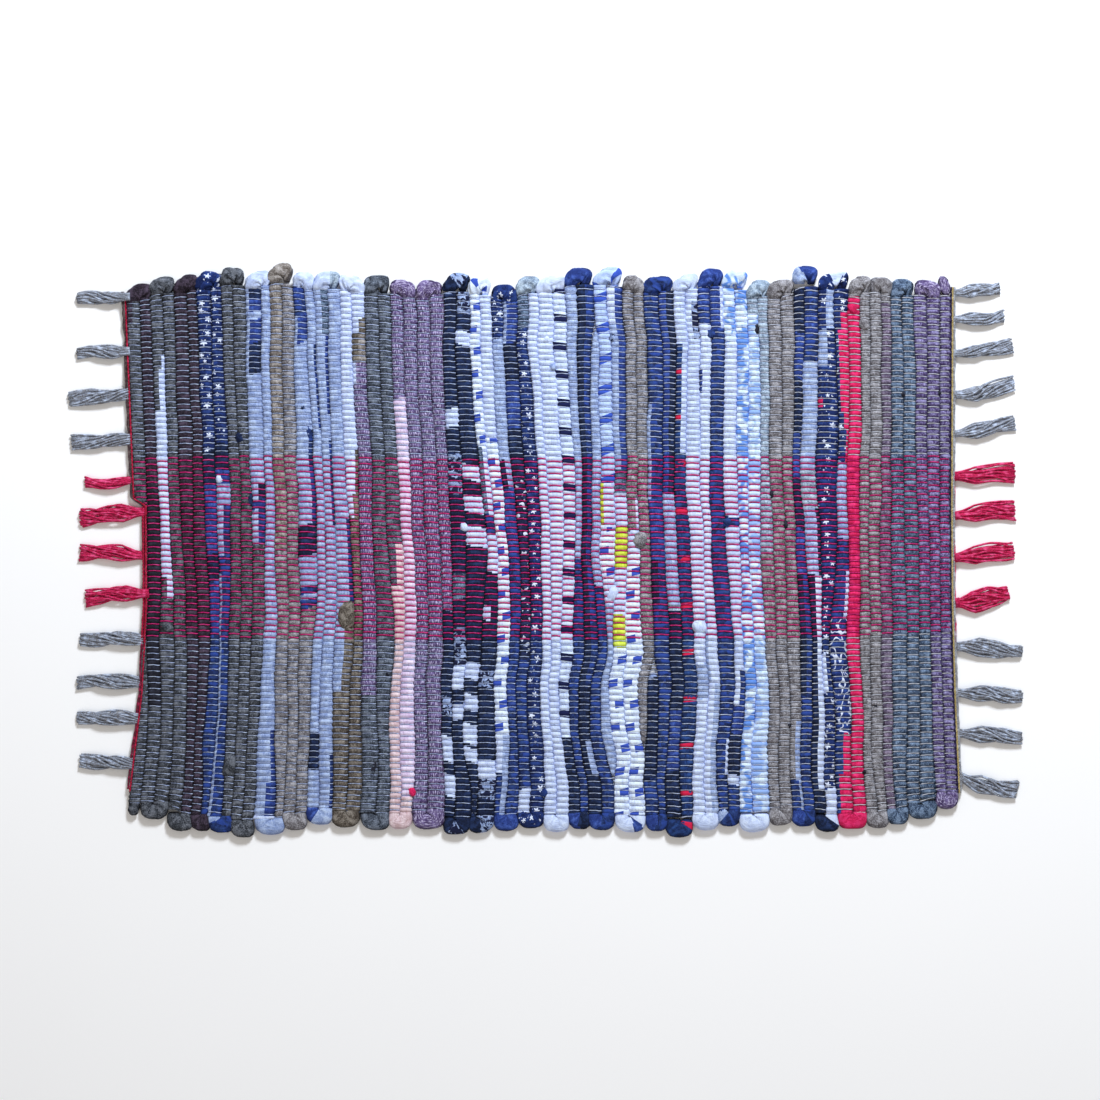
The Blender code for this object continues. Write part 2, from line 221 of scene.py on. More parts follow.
def evened(values, weights):
    """Each number of a row replaced by the weighted mean of itself and those beside it."""
    return np.convolve(np.pad(values, len(weights) // 2, mode="edge"), weights, "valid")


def mean_of(count):
    """The weights of a plain mean."""
    return np.full(count, 1.0 / count)


# The lines between the passes, at every mm down the rug, evened out over 25 mm.
downs = np.arange(0.0, 601.0)
pass_widths = np.array([np.interp(downs, LEVELS, row[:REACH]) for row in PASSES])
pass_widths[0] = np.interp(downs, FIRST_PASS[:, 0], FIRST_PASS[:, 1])
for short, gone, full in SHORT_PASSES:
    pass_widths[short] *= np.clip((downs - gone) / (full - gone), 0.0, 1.0)
left_end, right_end = (np.interp(downs, CLOTH_ENDS[:, 0], CLOTH_ENDS[:, k]) for k in (1, 2))
filled = np.cumsum(pass_widths[1:], axis=0)
filled *= (right_end - left_end - pass_widths[0]) / filled[-1]
sides = np.vstack([left_end + pass_widths[0], left_end + pass_widths[0] + filled])
sides = np.vstack([left_end, [evened(line, mean_of(25)) for line in sides]])

# The beater never lays a pass quite straight: neighbours sway together, a new way every few
# passes and every few centimetres down, and less over the last few passes at each end.
SWAY = 1.7                   # how far, at most (mm)
SWAY_PASSES, SWAY_DOWN, SWAY_CALM = 3, 34.0, 3.0
sway_rng = np.random.default_rng(17)
line_numbers = np.arange(len(sides))
sway_lines = np.arange(0, len(sides) + SWAY_PASSES, SWAY_PASSES)
sway_downs = np.arange(0.0, 601.0 + SWAY_DOWN, SWAY_DOWN)
sways = sway_rng.uniform(-1.0, 1.0, (len(sway_lines), len(sway_downs)))
sways = np.array([np.interp(downs, sway_downs, row) for row in sways])
sways = np.array([np.interp(line_numbers, sway_lines, column) for column in sways.T]).T
sways = np.array([evened(row, mean_of(21)) for row in sways])
inner = np.clip(np.minimum(line_numbers, line_numbers[::-1]) - 1.0, 0.0, SWAY_CALM)
sides += SWAY * sways * inner[:, None] / SWAY_CALM


def side_x(number, down):
    """X of the line left of a pass, straight between whole mm down the rug."""
    place = np.clip(down, 0.0, 599.999)
    low = place.astype(int)
    share = place - low
    return sides[number, low] * (1.0 - share) + sides[number, low + 1] * share


def pass_middle(number, down):
    return 0.5 * (side_x(number, down) + side_x(number + 1, down))


def pass_half(number, down):
    return 0.5 * (side_x(number + 1, down) - side_x(number, down))


def folded_at(number, edge):
    """Whether a pass turns at an edge: even ones at the upper and odd ones at the lower, but
    the other way about between the passes that stop short."""
    swapped = SHORT_PASSES[0][0] < number < SHORT_PASSES[-1][0]
    return ((number % 2 == 0) != swapped) == (edge == "upper")


def edge_points(edge):
    """X and y of the outermost warp at every fold of one long edge, with y evened out a
    little, and y evened out over nine folds."""
    end, sign = (0, 1) if edge == "upper" else (-1, -1)
    numbers = [n for n, row in enumerate(PASSES) if row[REACH] and folded_at(n, edge)]
    down = np.full(len(numbers), WARP_PLACES[end, 1])
    reach = np.array([PASSES[n][REACH] for n in numbers]) - FOLD_REACH
    line = np.minimum(reach, evened(reach, (0.25, 0.5, 0.25))) * sign
    return side_x(np.array(numbers) + 1, down), line, evened(line, mean_of(9))


upper_fold_x, upper_line, upper_calm = edge_points("upper")
lower_fold_x, lower_line, lower_calm = edge_points("lower")


def warp_y(warp, x):
    """Height of a warp: its share of the way between the calm upper and lower edge lines,
    plus what the real edge lines wander from them, which dies out over a few warps."""
    first, last = WARP_PLACES[[0, -1], 1]
    share = (np.interp(warp, WARP_PLACES[:, 0], WARP_PLACES[:, 1]) - first) / (last - first)
    upper = np.interp(x, upper_fold_x, upper_calm)
    lower = np.interp(x, lower_fold_x, lower_calm)
    near_upper = np.exp(-warp / 5.0) * (np.interp(x, upper_fold_x, upper_line) - upper)
    near_lower = np.exp((warp - WARPS + 1) / 5.0) * (
        np.interp(x, lower_fold_x, lower_line) - lower)
    return upper + (lower - upper) * share + near_upper + near_lower


ring_rng = np.random.default_rng(11)


def wander(count, every):
    """Random numbers from -1 to 1 for a row of rings: a new one every few, straight between."""
    knots = ring_rng.uniform(-1.0, 1.0, count // every + 3)
    return np.interp(np.arange(count) / every, np.arange(len(knots)), knots)


def section(angles):
    """Shares across and up of a flattened round: cos(angle) and sin(angle) ** 0.8."""
    up = np.sign(np.sin(angles)) * np.abs(np.sin(angles)) ** 0.8
    up[np.abs(np.sin(angles)) < 1e-6] = 0.0
    return np.cos(angles), up


ACROSS, UP = section(np.radians((0, 30, 60, 90, 120, 150, 180, 225, 270, 315)))


def pass_rings(number, start, stop):
    """Points of the rings of a pass from its lower to its upper end, with how far across and
    how far down they lie.

    Where a warp crosses over, the top dips to (1 - BEAD_DIP) of its height, and at its
    shoulders to (1 - SHOULDER_DIP); where one crosses under, so does the underside.
    Half width: half the pass * (PRESSED - BEAD_SWELL * cos(pi * (warp + pass))).
    """
    warps = np.arange(WARPS, dtype=float)
    crossed = warps[(warps + number) % 2 == 0]
    under = warps[(warps + number) % 2 == 1]
    places = np.unique(np.concatenate([
        warps, crossed - SHOULDER, crossed + SHOULDER, (-1.0, WARPS)]))
    down = np.interp(places, WARP_PLACES[:, 0], WARP_PLACES[:, 1])
    down += PAST_WARPS * (np.minimum(places, 0.0) + np.maximum(places - WARPS + 1.0, 0.0))
    places, down = (values[(down > start) & (down < stop)][::-1] for values in (places, down))
    count = len(places)
    y = warp_y(places, pass_middle(number, down))
    down = UPPER_EDGE - y
    to_crossed, to_under = (np.min(np.abs(places[:, None] - some), axis=1)
                            for some in (crossed, under))
    over = np.clip(1.0 - to_crossed / SHOULDER, 0, 1)
    beside = np.isclose(to_crossed, SHOULDER)
    below = np.clip(1.0 - to_under / UNDER_REACH, 0, 1)
    half = pass_half(number, down) * (
        PRESSED - BEAD_SWELL * np.cos(np.pi * (places + number)))
    half *= 1.0 + WIDTH_WANDER * wander(count, 6)
    rise = RAG_RISE * (1.0 + RISE_WANDER * wander(count, 4))
    free = np.zeros(count)
    for end, limit in ((0, stop), (count - 1, start)):
        if 0.0 < limit < 600.0:
            free = np.maximum(free, np.exp(-np.abs(np.arange(count) - end) / 1.2))
    free = np.maximum(free, 0.8 * ((places < -0.5) | (places > WARPS - 0.5)))
    half, rise = half * (1.0 - 0.6 * free), rise * (1.0 - 0.55 * free)
    x = pass_middle(number, down) + SIDE_WANDER * wander(count, 11)
    top = 1.0 - BEAD_DIP * over - SHOULDER_DIP * beside
    bottom = 1.0 - BEAD_DIP * below
    lift = UP[None, :] * rise[:, None] * np.where(UP[None, :] > 0, top[:, None], bottom[:, None])
    spread = ACROSS[None, :] * half[:, None]
    points = np.stack([x[:, None] + spread, y[:, None] + 0.0 * spread,
                       RAG_MIDDLE + lift], axis=2)
    return points, spread, down, number, PASSES[number][CLOTHS]


FOLD_ANGLES = 2.0 * np.pi * np.arange(22) / 22
fold_rng = np.random.default_rng(23)


def fold_rings(number, edge):
    """The same for the strip that turns from a pass to the next at a long edge.

    Middle: turning point + (-a * cos(t), b * sin(t)), both to the power square, t from
    -0.1 pi to 1.1 pi, turned by 180 degrees at the lower edge. The section keeps its right
    hand to the turning point, tucks its ends under the passes, is widest half way, and is
    crushed into pleats that wind round it: radius 1 - depth * (1 - |sin(pleats / 2 *
    (angle + twist * t) + start)|) ** 1.5 + 0.03 * cos(9 * (angle + twist * t) + start).
    """
    widest, arms, square, raised, pleat_depth, uneven = TURNS[edge]
    sign = 1.0 if edge == "upper" else -1.0
    y = sign * (PASSES[number][REACH] - FOLD_REACH)
    down = np.array([UPPER_EDGE - y])
    middles = [pass_middle(n, down)[0] for n in (number, number + 1)]
    halves = [pass_half(n, down)[0] for n in (number, number + 1)]
    if edge == "lower":
        halves = halves[::-1]
    t = np.linspace(-0.1, 1.1, 23) * np.pi
    turned = np.clip(t, 0.0, np.pi)
    crown = np.sin(turned)
    apart = 0.5 * (middles[1] - middles[0]) * (1.0 + 0.2 * crown)
    share = 0.5 - 0.5 * np.cos(turned)
    widest *= fold_rng.uniform(0.92, 1.05)
    half = arms * (halves[0] + (halves[1] - halves[0]) * share)
    uneven *= fold_rng.choice((1.0, 1.0, 1.0, -0.7))
    half *= 1.0 + uneven * np.cos(turned)
    half += (widest - half) * crown ** 0.7 + fold_rng.uniform(-0.7, 0.7) * np.sin(2.0 * turned)
    half += 4.0 * pleat_depth * crown * fold_rng.uniform(0.2, 0.6) * np.sin(
        3.0 * turned + fold_rng.uniform(0.0, 6.0))
    depth = FOLD_REACH - half[11]
    beyond = (t - turned) * FOLD_TUCK
    twisted_lean = 4.0 * (uneven > 0.2)
    lean = fold_rng.uniform(-2.6, 1.0) + twisted_lean
    squared = np.column_stack([
        -np.sign(np.cos(turned)) * np.abs(np.cos(turned)) ** square, crown ** square])
    away = np.array([apart, depth + 0.0 * t]).T * squared
    away[:, 0] += lean * crown
    away[:, 1] += np.where(t < 0.0, beyond, -beyond)
    middle = np.array([0.5 * (middles[0] + middles[1]), y]) + sign * away
    hand = -sign * squared
    twist, pleats = fold_rng.uniform(0.6, 1.4), fold_rng.integers(3, 6)
    if fold_rng.random() < 0.25:
        twist = -twist
    start = fold_rng.uniform(0.0, 2.0 * np.pi)
    across, up = section(FOLD_ANGLES)
    round_ = FOLD_ANGLES[None, :] + twist * t[:, None]
    crease = 1.0 - np.abs(np.sin(0.5 * pleats * round_ + start))
    pleat = 1.0 - pleat_depth * crease ** 1.5 + 0.03 * np.cos(9 * round_ + start)
    tucked = np.clip((np.abs(t / np.pi - 0.5) - 0.5) / 0.1, 0.0, 1.0)
    rise, half = FOLD_RISE * (1.0 - 0.8 * tucked), half * (1.0 - 0.25 * tucked)
    spread = across[None, :] * half[:, None]
    lift = up[None, :] * rise[:, None] * pleat
    height = FOLD_MIDDLE + raised * (crown + 2.0 * uneven * np.cos(turned))
    points = np.stack([
        middle[:, None, 0] + spread * pleat * hand[:, None, 0],
        middle[:, None, 1] + spread * pleat * hand[:, None, 1],
        np.maximum(0.02, height[:, None] + lift)], axis=2)
    return points, spread, FOLD_ARC * t, number, PASSES[number][FOLD_CLOTH]


def operator(operation, swapped=False):
    """The method of Signal for one of Python's operators."""
    if swapped:
        return lambda self, other: self.math(operation, other, self)
    return lambda self, other: self.math(operation, self, other)


class Signal:
    """A number that varies over a surface; arithmetic on it adds the Math nodes."""

    def __init__(self, tree, socket):
        self.tree, self.socket = tree, socket

    def math(self, operation, *values):
        added = self.tree.nodes.new("ShaderNodeMath")
        added.operation = operation
        for socket, value in zip(added.inputs, values):
            if isinstance(value, Signal):
                self.tree.links.new(value.socket, socket)
            else:
                socket.default_value = value
        return Signal(self.tree, added.outputs[0])

    def to(self, operation, *others):
        """A function of this number, and of others if it has more."""
        return self.math(operation, self, *others)

    __add__ = __radd__ = operator("ADD")
    __sub__, __rsub__ = operator("SUBTRACT"), operator("SUBTRACT", swapped=True)
    __mul__ = __rmul__ = operator("MULTIPLY")
    __truediv__, __pow__ = operator("DIVIDE"), operator("POWER")
    __mod__ = operator("FLOORED_MODULO")
    __lt__, __gt__ = operator("LESS_THAN"), operator("GREATER_THAN")


class Finish:
    """A material under construction: a Principled shader and the nodes that feed it."""

    def __init__(self, name, roughness=0.9):
        self.material = bpy.data.materials.new(name)
        self.material.use_nodes = True
        self.tree = self.material.node_tree
        self.shader = self.tree.nodes["Principled BSDF"]
        self.shader.inputs["Roughness"].default_value = roughness
        self.shader.inputs["Specular IOR Level"].default_value = 0.25

    def node(self, kind, settings=(), sockets=(), out=0):
        """Adds a node: its settings first, then the values or links of its sockets."""
        added = self.tree.nodes.new(kind)
        for name, value in dict(settings).items():
            setattr(added, name, value)
        for name, value in dict(sockets).items():
            if isinstance(value, Signal):
                self.tree.links.new(value.socket, added.inputs[name])
            else:
                added.inputs[name].default_value = value
        return Signal(self.tree, added.outputs[out])

    def position(self, *stretch):
        """Object coordinates in metres, each times its own number."""
        place = self.node("ShaderNodeTexCoord", out="Object")
        return self.node("ShaderNodeVectorMath", {"operation": "MULTIPLY"},
                         {0: place, 1: stretch})

    def noise(self, where, scale=1.0, detail=2.0, rough=0.5, warp=0.0):
        return self.node("ShaderNodeTexNoise", sockets={
            "Vector": where, "Scale": scale, "Detail": detail, "Roughness": rough,
            "Distortion": warp})

    def strip(self, name="strip"):
        """From the piece's own map, in millimetres: across the strip of cloth from its middle
        line, along it, and across it with every pass 1000 further on than the one before."""
        place = self.node("ShaderNodeUVMap", {"uv_map": name})
        own, along = self.part(place, "X"), self.part(place, "Y")
        return (own + 500.0) % 1000.0 - 500.0, along, own

    def part(self, place, axis):
        return self.node("ShaderNodeSeparateXYZ", sockets={0: place}, out=axis)

    def spot(self, x, y, z=0.0):
        return self.node("ShaderNodeCombineXYZ", sockets={0: x, 1: y, 2: z})

    def mix(self, share, first, second):
        """First colour where share is 0, second where it is 1."""
        return self.node("ShaderNodeMix", {"data_type": "RGBA"},
                         {0: share, 6: first, 7: second}, out=2)

    def clamp(self, value, low, high):
        """0 below low, 1 above high, straight between."""
        return self.node("ShaderNodeMapRange", sockets={
            "Value": value, "From Min": low, "From Max": high})

    def finish(self, colour, height=None, strength=0.5, distance=MM):
        self.tree.links.new(colour.socket, self.shader.inputs["Base Color"])
        if height is not None:
            bump = self.node("ShaderNodeBump", sockets={
                "Height": height, "Strength": strength, "Distance": distance})
            self.tree.links.new(bump.socket, self.shader.inputs["Normal"])
        return self.material


def tint(red, green, blue):
    """A colour from its three screen values, 0 to 255, as Blender wants it."""
    part = np.array((red, green, blue)) / 255.0
    part = np.where(part <= 0.04045, part / 12.92, ((part + 0.055) / 1.055) ** 2.4)
    return (*part.tolist(), 1.0)


def star_mask(cloth, across, along, own, pitch, size):
    """Small five-pointed stars, about one a pitch along the strip, each at a place and of a
    size of its own: inside where the distance from its middle is under size * (0.15 to 1.05) *
    (0.7 + 0.3 * cos(5 * angle)). Bits of others show where noise is above 0.71."""
    row = (along / pitch).to("FLOOR")
    strip = (own / 1000.0).to("ROUND")
    chance = [cloth.node("ShaderNodeTexWhiteNoise", {"noise_dimensions": "1D"},
                         {"W": row * 7.0 + strip * 3.1 + shift}) for shift in (0.2, 0.5, 0.8)]
    x = across - (chance[0] - 0.5) * 9.0
    y = along % pitch - (0.5 + (chance[1] - 0.5) * 0.6) * pitch
    angle = x.to("ARCTAN2", y) * 5.0 + chance[2] * 6.0
    away = (x * x + y * y) ** 0.5
    edge = (angle.to("COSINE") * 0.3 + 0.7) * (chance[2] * 0.9 + 0.15) * size
    bits = cloth.noise(cloth.spot(own * 0.33, along * 0.24, 9.0), 1.0, 1.0, 0.6, 0.5) > 0.71
    return (away < edge).to("MAXIMUM", bits)


# Worn cotton cloths. Columns: lit threads, body, shaded threads (screen values), how strong the
# marl of differently dyed threads is, and the print on it with its colour, if any. The lit and
# shaded colours are also painted into the creases, as painted shade in their hollows and painted
# highlight on their ridges. Most of the three thread colours were worked out by a program that
# compared renders of the cloths with the photograph. They weren't chosen by eye.
FABRICS = {
    "grey": ((131, 136, 147), (71, 76, 86), (31, 34, 39), 1.0, None, None),
    "ash": ((204, 223, 239), (154, 174, 198), (92, 107, 128), 0.9, None, None),
    "slate": ((144, 167, 198), (75, 95, 123), (33, 46, 68), 1.0, None, None),
    "iron": ((139, 149, 167), (77, 87, 101), (33, 37, 47), 1.0, None, None),
    # dusk is a near-black cloth; its lumps among the knots are painted shadow in holes between the
    # passes.
    "dusk": ((59, 62, 78), (30, 30, 42), (14, 15, 24), 0.6, None, None),
    "plum": ((95, 83, 103), (48, 38, 52), (22, 17, 27), 0.8, None, None),
    "violet": ((170, 166, 212), (93, 78, 130), (48, 36, 73), 1.0, None, None),
    "mauve": ((166, 154, 178), (104, 92, 117), (57, 48, 70), 0.9, None, None),
    "taupe": ((188, 188, 196), (130, 128, 133), (80, 76, 80), 1.0, None, None),
    "tan": ((195, 190, 188), (136, 130, 126), (78, 69, 63), 0.8, None, None),
    "brown": ((161, 154, 146), (103, 95, 85), (50, 42, 38), 0.8, None, None),
    "white": ((221, 234, 254), (205, 220, 251), (170, 185, 224), 0.35, None, None),
    "lilac": ((214, 229, 252), (196, 212, 247), (160, 176, 219), 0.35, None, None),
    "light": ((195, 213, 240), (159, 179, 221), (113, 132, 180), 0.7, None, None),
    "royal": ((84, 113, 197), (45, 72, 153), (26, 42, 101), 0.6, "patches", (34, 52, 118)),
    "navy": ((56, 85, 151), (29, 48, 104), (14, 25, 61), 0.6, "patches", (44, 72, 154)),
    "black": ((44, 65, 114), (16, 30, 62), (8, 15, 35), 0.5, None, None),
    "pink": ((241, 230, 250), (224, 210, 235), (190, 163, 200), 0.4, None, None),
    "peach": ((242, 225, 228), (222, 200, 209), (186, 153, 156), 0.4, None, None),
    "yellow": ((232, 246, 120), (216, 234, 70), (176, 194, 50), 0.4, None, None),
    "red": ((244, 68, 139), (225, 29, 94), (161, 13, 60), 0.5, None, None),
    "purple": ((135, 123, 172), (91, 73, 121), (55, 42, 80), 0.5, "pinstripe", (186, 178, 212)),
    "stars": ((50, 79, 151), (22, 42, 103), (10, 21, 58), 0.5, "stars", (216, 226, 248)),
    "dash": ((226, 240, 255), (210, 226, 251), (173, 190, 228), 0.35, "bars", (18, 26, 70)),
    "bands": ((198, 219, 252), (181, 203, 245), (148, 170, 221), 0.35, "bands", (54, 84, 184)),
    "spots": ((238, 249, 255), (224, 238, 254), (186, 202, 234), 0.35, "spots", (54, 80, 178)),
    "tiedye": ((233, 246, 255), (216, 234, 255), (178, 204, 241), 0.4, "dye", (84, 132, 214)),
    "cloud": ((230, 245, 255), (212, 233, 255), (174, 198, 238), 0.4, "cloud", (122, 160, 228)),
    "flag": ((54, 93, 163), (26, 50, 107), (12, 25, 55), 0.5, "flag", (206, 30, 72)),
    "print": ((54, 68, 118), (24, 35, 74), (11, 16, 37), 0.5, "specks", (210, 220, 242)),
    "sprig": ((186, 206, 240), (147, 167, 210), (99, 117, 160), 0.5, "sprig", (22, 28, 60)),
    "swirls": ((60, 92, 172), (30, 52, 121), (15, 27, 70), 0.5, "swirls", (210, 220, 244)),
}


# Prints that repeat along the strip. Columns: length of a repeat and of the mark in it (mm),
# slant (mm along for a mm across), start (mm).
BANDED = {
    "bars": (30.75, 8.2, -0.12, -12.8), "bands": (33.0, 9.5, 0.4, 12.0),
    "flag": (51.0, 6.0, 0.1, 0.0),
}

# Blots. Columns: how many to a mm across and along, detail, roughness and distortion of the
# noise, level above which it shows.
SPECKLED = {"specks": (0.17, 0.15, 1.0, 0.5, 0.0, 0.61), "sprig": (0.16, 0.16, 2.0, 0.6, 0.8, 0.5)}

# Dyes that run. The same, but with the levels where they begin to show and show most, and how
# strong they are then.
DYED = {
    "dye": (0.06, 0.065, 2.0, 0.5, 0.6, 0.47, 0.55, 0.95),
    "cloud": (0.06, 0.065, 2.0, 0.5, 0.6, 0.47, 0.55, 0.8),
    "patches": (0.09, 0.1, 1.0, 0.6, 0.5, 0.5, 0.56, 0.75),
}
STAR_PITCH, STAR_SIZE = 11.5, 3.9        # mm
SPOT_PITCH, SPOT_SHIFT = 24.0, 3.0       # mm along, and from the middle to either side in turn
SPOT_WIDE, SPOT_LONG = 4.8, 4.1          # half a spot's width and length (mm)
CURL_WIDTH = 0.032                       # how near to half the noise is in a curl


def print_mask(cloth, kind, across, along, own):
    """Where a printed colour shows, from millimetres across and along the strip."""
    def blots(wide, long, *look):
        return cloth.noise(cloth.spot(own * wide, along * long), 1.0, *look)

    if kind in BANDED:
        pitch, mark, slant, start = BANDED[kind]
        shown = (along + across * slant + start) % pitch < mark
        return shown * (blots(0.08, 0.08) > 0.4) if kind == "flag" else shown
    if kind in SPECKLED:
        *look, level = SPECKLED[kind]
        return blots(*look) > level
    if kind in DYED:
        *look, low, high, strength = DYED[kind]
        return cloth.clamp(blots(*look), low, high) * strength
    if kind == "pinstripe":
        sway = blots(0.3, 0.16, 2.0) * 7.0
        streak = cloth.noise(cloth.spot(own * 0.9, along * 0.2, 2.0), 1.0, 1.0) - 0.5
        line = (across * 2.7 + sway).to("SINE")
        return cloth.clamp(line * 0.4 + streak * 6.0, -0.1, 0.9) * cloth.clamp(
            blots(0.5, 0.45, 1.0), 0.36, 0.5)
    if kind == "stars":
        return star_mask(cloth, across, along, own, STAR_PITCH, STAR_SIZE)
    if kind == "spots":
        turn = ((along / SPOT_PITCH).to("FLOOR") % 2.0) * (2.0 * SPOT_SHIFT) - SPOT_SHIFT
        y = along % SPOT_PITCH - 0.5 * SPOT_PITCH + across * 0.25
        x = across - turn
        return (x.to("ABSOLUTE") < SPOT_WIDE) * (y.to("ABSOLUTE") < SPOT_LONG)
    curl = blots(0.11, 0.06, 1.0, 0.4, 0.7) - 0.5
    return curl.to("ABSOLUTE") < CURL_WIDTH


# Painted shade: the low places of the rags, between the beads and between the passes, are darkened,
# dark cloths more than light ones.
PAINTED_SHADE_HEIGHTS = (7.5, 5.1)           # heights where painted shade sets in and where it is full (mm)
PAINTED_SHADE_LEFT = (0.13, 0.95)     # share of its light that black keeps in the painted shade, and what white adds


def rag_cloth(name):
    """Jersey or sheeting: fine marl of lit and shaded threads, creases that run along the strip
    where it is crushed, with painted shade in their hollows and painted highlight on their ridges,
    worn and soiled places, the print on top, and painted shade low down, between the beads and
    between the passes."""
    lit, body, shaded, marl, kind, colour = FABRICS[name]
    cloth = Finish("rag_" + name, 0.92)
    across, along, own = cloth.strip()
    threads = cloth.noise(cloth.position(840.0, 960.0, 840.0), 1.0, 1.0)
    creases = cloth.noise(cloth.spot(own * 0.4, along * 0.13), 1.0, 3.0, 0.6, 0.3)
    wear = cloth.noise(cloth.position(60.0, 45.0, 60.0), 1.0, 2.0)
    dark = cloth.clamp(threads, 0.51, 0.41) * (0.8 * marl)
    bright = cloth.clamp(threads, 0.54, 0.64) * (0.75 * marl)
    # Painted shade: darker toward the shaded colour in the hollows of the creases.
    shade = cloth.mix(cloth.clamp(creases, 0.5, 0.34) * 0.8, tint(*body), tint(*shaded))
    shade = cloth.mix(dark, shade, tint(*shaded))
    # Painted highlight: lighter toward the lit colour on the ridges of the creases, and on the
    # bright threads of the marl.
    shade = cloth.mix(cloth.clamp(creases, 0.52, 0.72) * 0.5 + bright * 0.8, shade, tint(*lit))
    worn = cloth.noise(cloth.spot(own * 0.11, along * 0.17, 4.0), 1.0, 0.0)
    shade = cloth.mix(cloth.clamp(worn, 0.5, 0.68) * 0.42, shade, tint(*lit))
    shade = cloth.mix(cloth.clamp(worn, 0.5, 0.32) * 0.42, shade, tint(*shaded))
    shade = cloth.mix(cloth.clamp(wear, 0.5, 0.36) * 0.3, shade, tint(*shaded))
    if kind:
        shade = cloth.mix(print_mask(cloth, kind, across, along, own), shade, tint(*colour))
    height = creases * 1.2 + threads * 0.35 + wear * 0.6
    # Painted shade low down, multiplied into the colour by height above the floor.
    above = cloth.part(cloth.position(1.0, 1.0, 1.0), "Z")
    painted_shade_share = cloth.clamp(above, PAINTED_SHADE_HEIGHTS[0] * MM, PAINTED_SHADE_HEIGHTS[1] * MM)
    left = PAINTED_SHADE_LEFT[0] + PAINTED_SHADE_LEFT[1] * (np.mean(body) / 255.0) ** 2
    shade = cloth.node("ShaderNodeMix", {"data_type": "RGBA", "blend_type": "MULTIPLY"},
                       {0: painted_shade_share, 6: shade, 7: (left, left, 1.1 * left, 1.0)}, out=2)
    return cloth.finish(shade, height, 0.6, 1.6 * MM)


fabric_names = list(FABRICS)
fabrics = [rag_cloth(name) for name in fabric_names]
MARKS = {"|": 0.0, ">": 0.5, "<": -0.5}
cloth_rng = np.random.default_rng(3)


def cloth_numbers(cloths, down, spots):
    """Which fabric each face shows, from a row of cloths, the faces' distances down and their
    spots, from -1 at the left of the strip to 1 at its right. Cloths meet at a slant."""
    words = cloths.split()
    limits = np.array(words[1::2], dtype=float)
    pairs, edges = [], []
    for word in words[::2]:
        mark = next((mark for mark in MARKS if mark in word), None)
        pairs.append([fabric_names.index(cloth) for cloth in (
            word.split(mark) if mark else (word, word))])
        edges.append(MARKS.get(mark, 0.0))
    slant = cloth_rng.uniform(-2.5, 2.5)
    part = np.searchsorted(limits, down + slant * spots + cloth_rng.uniform(-0.3, 0.3, down.shape))
    return np.array(pairs)[part, (spots > np.array(edges)[part]).astype(int)]


def tube_faces(strips, count, around, mirrored=False):
    """The faces of closed tubes of count rings, one tube after another: quads from ring to
    ring, then a face over each lower end and one over each upper end. mirrored is for rings
    whose points run the other way round. Returns the faces' corner numbers, how many each
    face has, and a flat map for baking: each tube in a column of its own, 1 wide, with its
    rings from the bottom up and its end faces in the margins."""
    ahead, beside = np.array((0, 0, 1, 1)), np.array((0, 1, 1, 0))
    loop = np.arange(around)
    low, high = loop[::-1], loop
    if mirrored:
        ahead, beside, low, high = beside, ahead, high, low
    tube, ring, spot, corner = np.meshgrid(
        np.arange(strips), np.arange(count - 1), loop, np.arange(4), indexing="ij")
    ring, spot = ring + ahead[corner], spot + beside[corner]
    quads = (tube * count + ring) * around + spot % around
    quad_map = np.stack([tube + 0.03 + 0.94 * spot / around,
                         0.03 + 0.94 * ring / (count - 1)], axis=4)
    first = np.arange(strips)[:, None] * count * around
    ends = np.vstack([first + low, first + (count - 1) * around + high])
    place, tube, spot = np.meshgrid((0.015, 0.985), np.arange(strips), loop, indexing="ij")
    turn = 2.0 * np.pi * spot / around
    end_map = np.stack([tube + 0.5 + 0.4 * np.cos(turn), place + 0.01 * np.sin(turn)], axis=3)
    return (np.concatenate([quads.ravel(), ends.ravel()]),
            np.concatenate([np.full(quads.size // 4, 4), np.full(len(ends), around)]),
            np.vstack([quad_map.reshape(-1, 2), end_map.reshape(-1, 2)]))


def joined(meshes):
    """Several (points, corners, sizes, flat map) as one, and which of them each face came
    from."""
    points, corners, sizes, maps, source, first, column = [], [], [], [], [], 0, 0.0
    for number, (some_points, some_corners, some_sizes, some_map) in enumerate(meshes):
        points.append(some_points)
        corners.append(some_corners + first)
        sizes.append(some_sizes)
        maps.append(some_map + (column, 0.0))
        source.append(np.full(len(some_sizes), number))
        first += len(some_points)
        column += np.ceil(some_map[:, 0].max())
    return (np.vstack(points), np.concatenate(corners), np.concatenate(sizes),
            np.vstack(maps), np.concatenate(source))


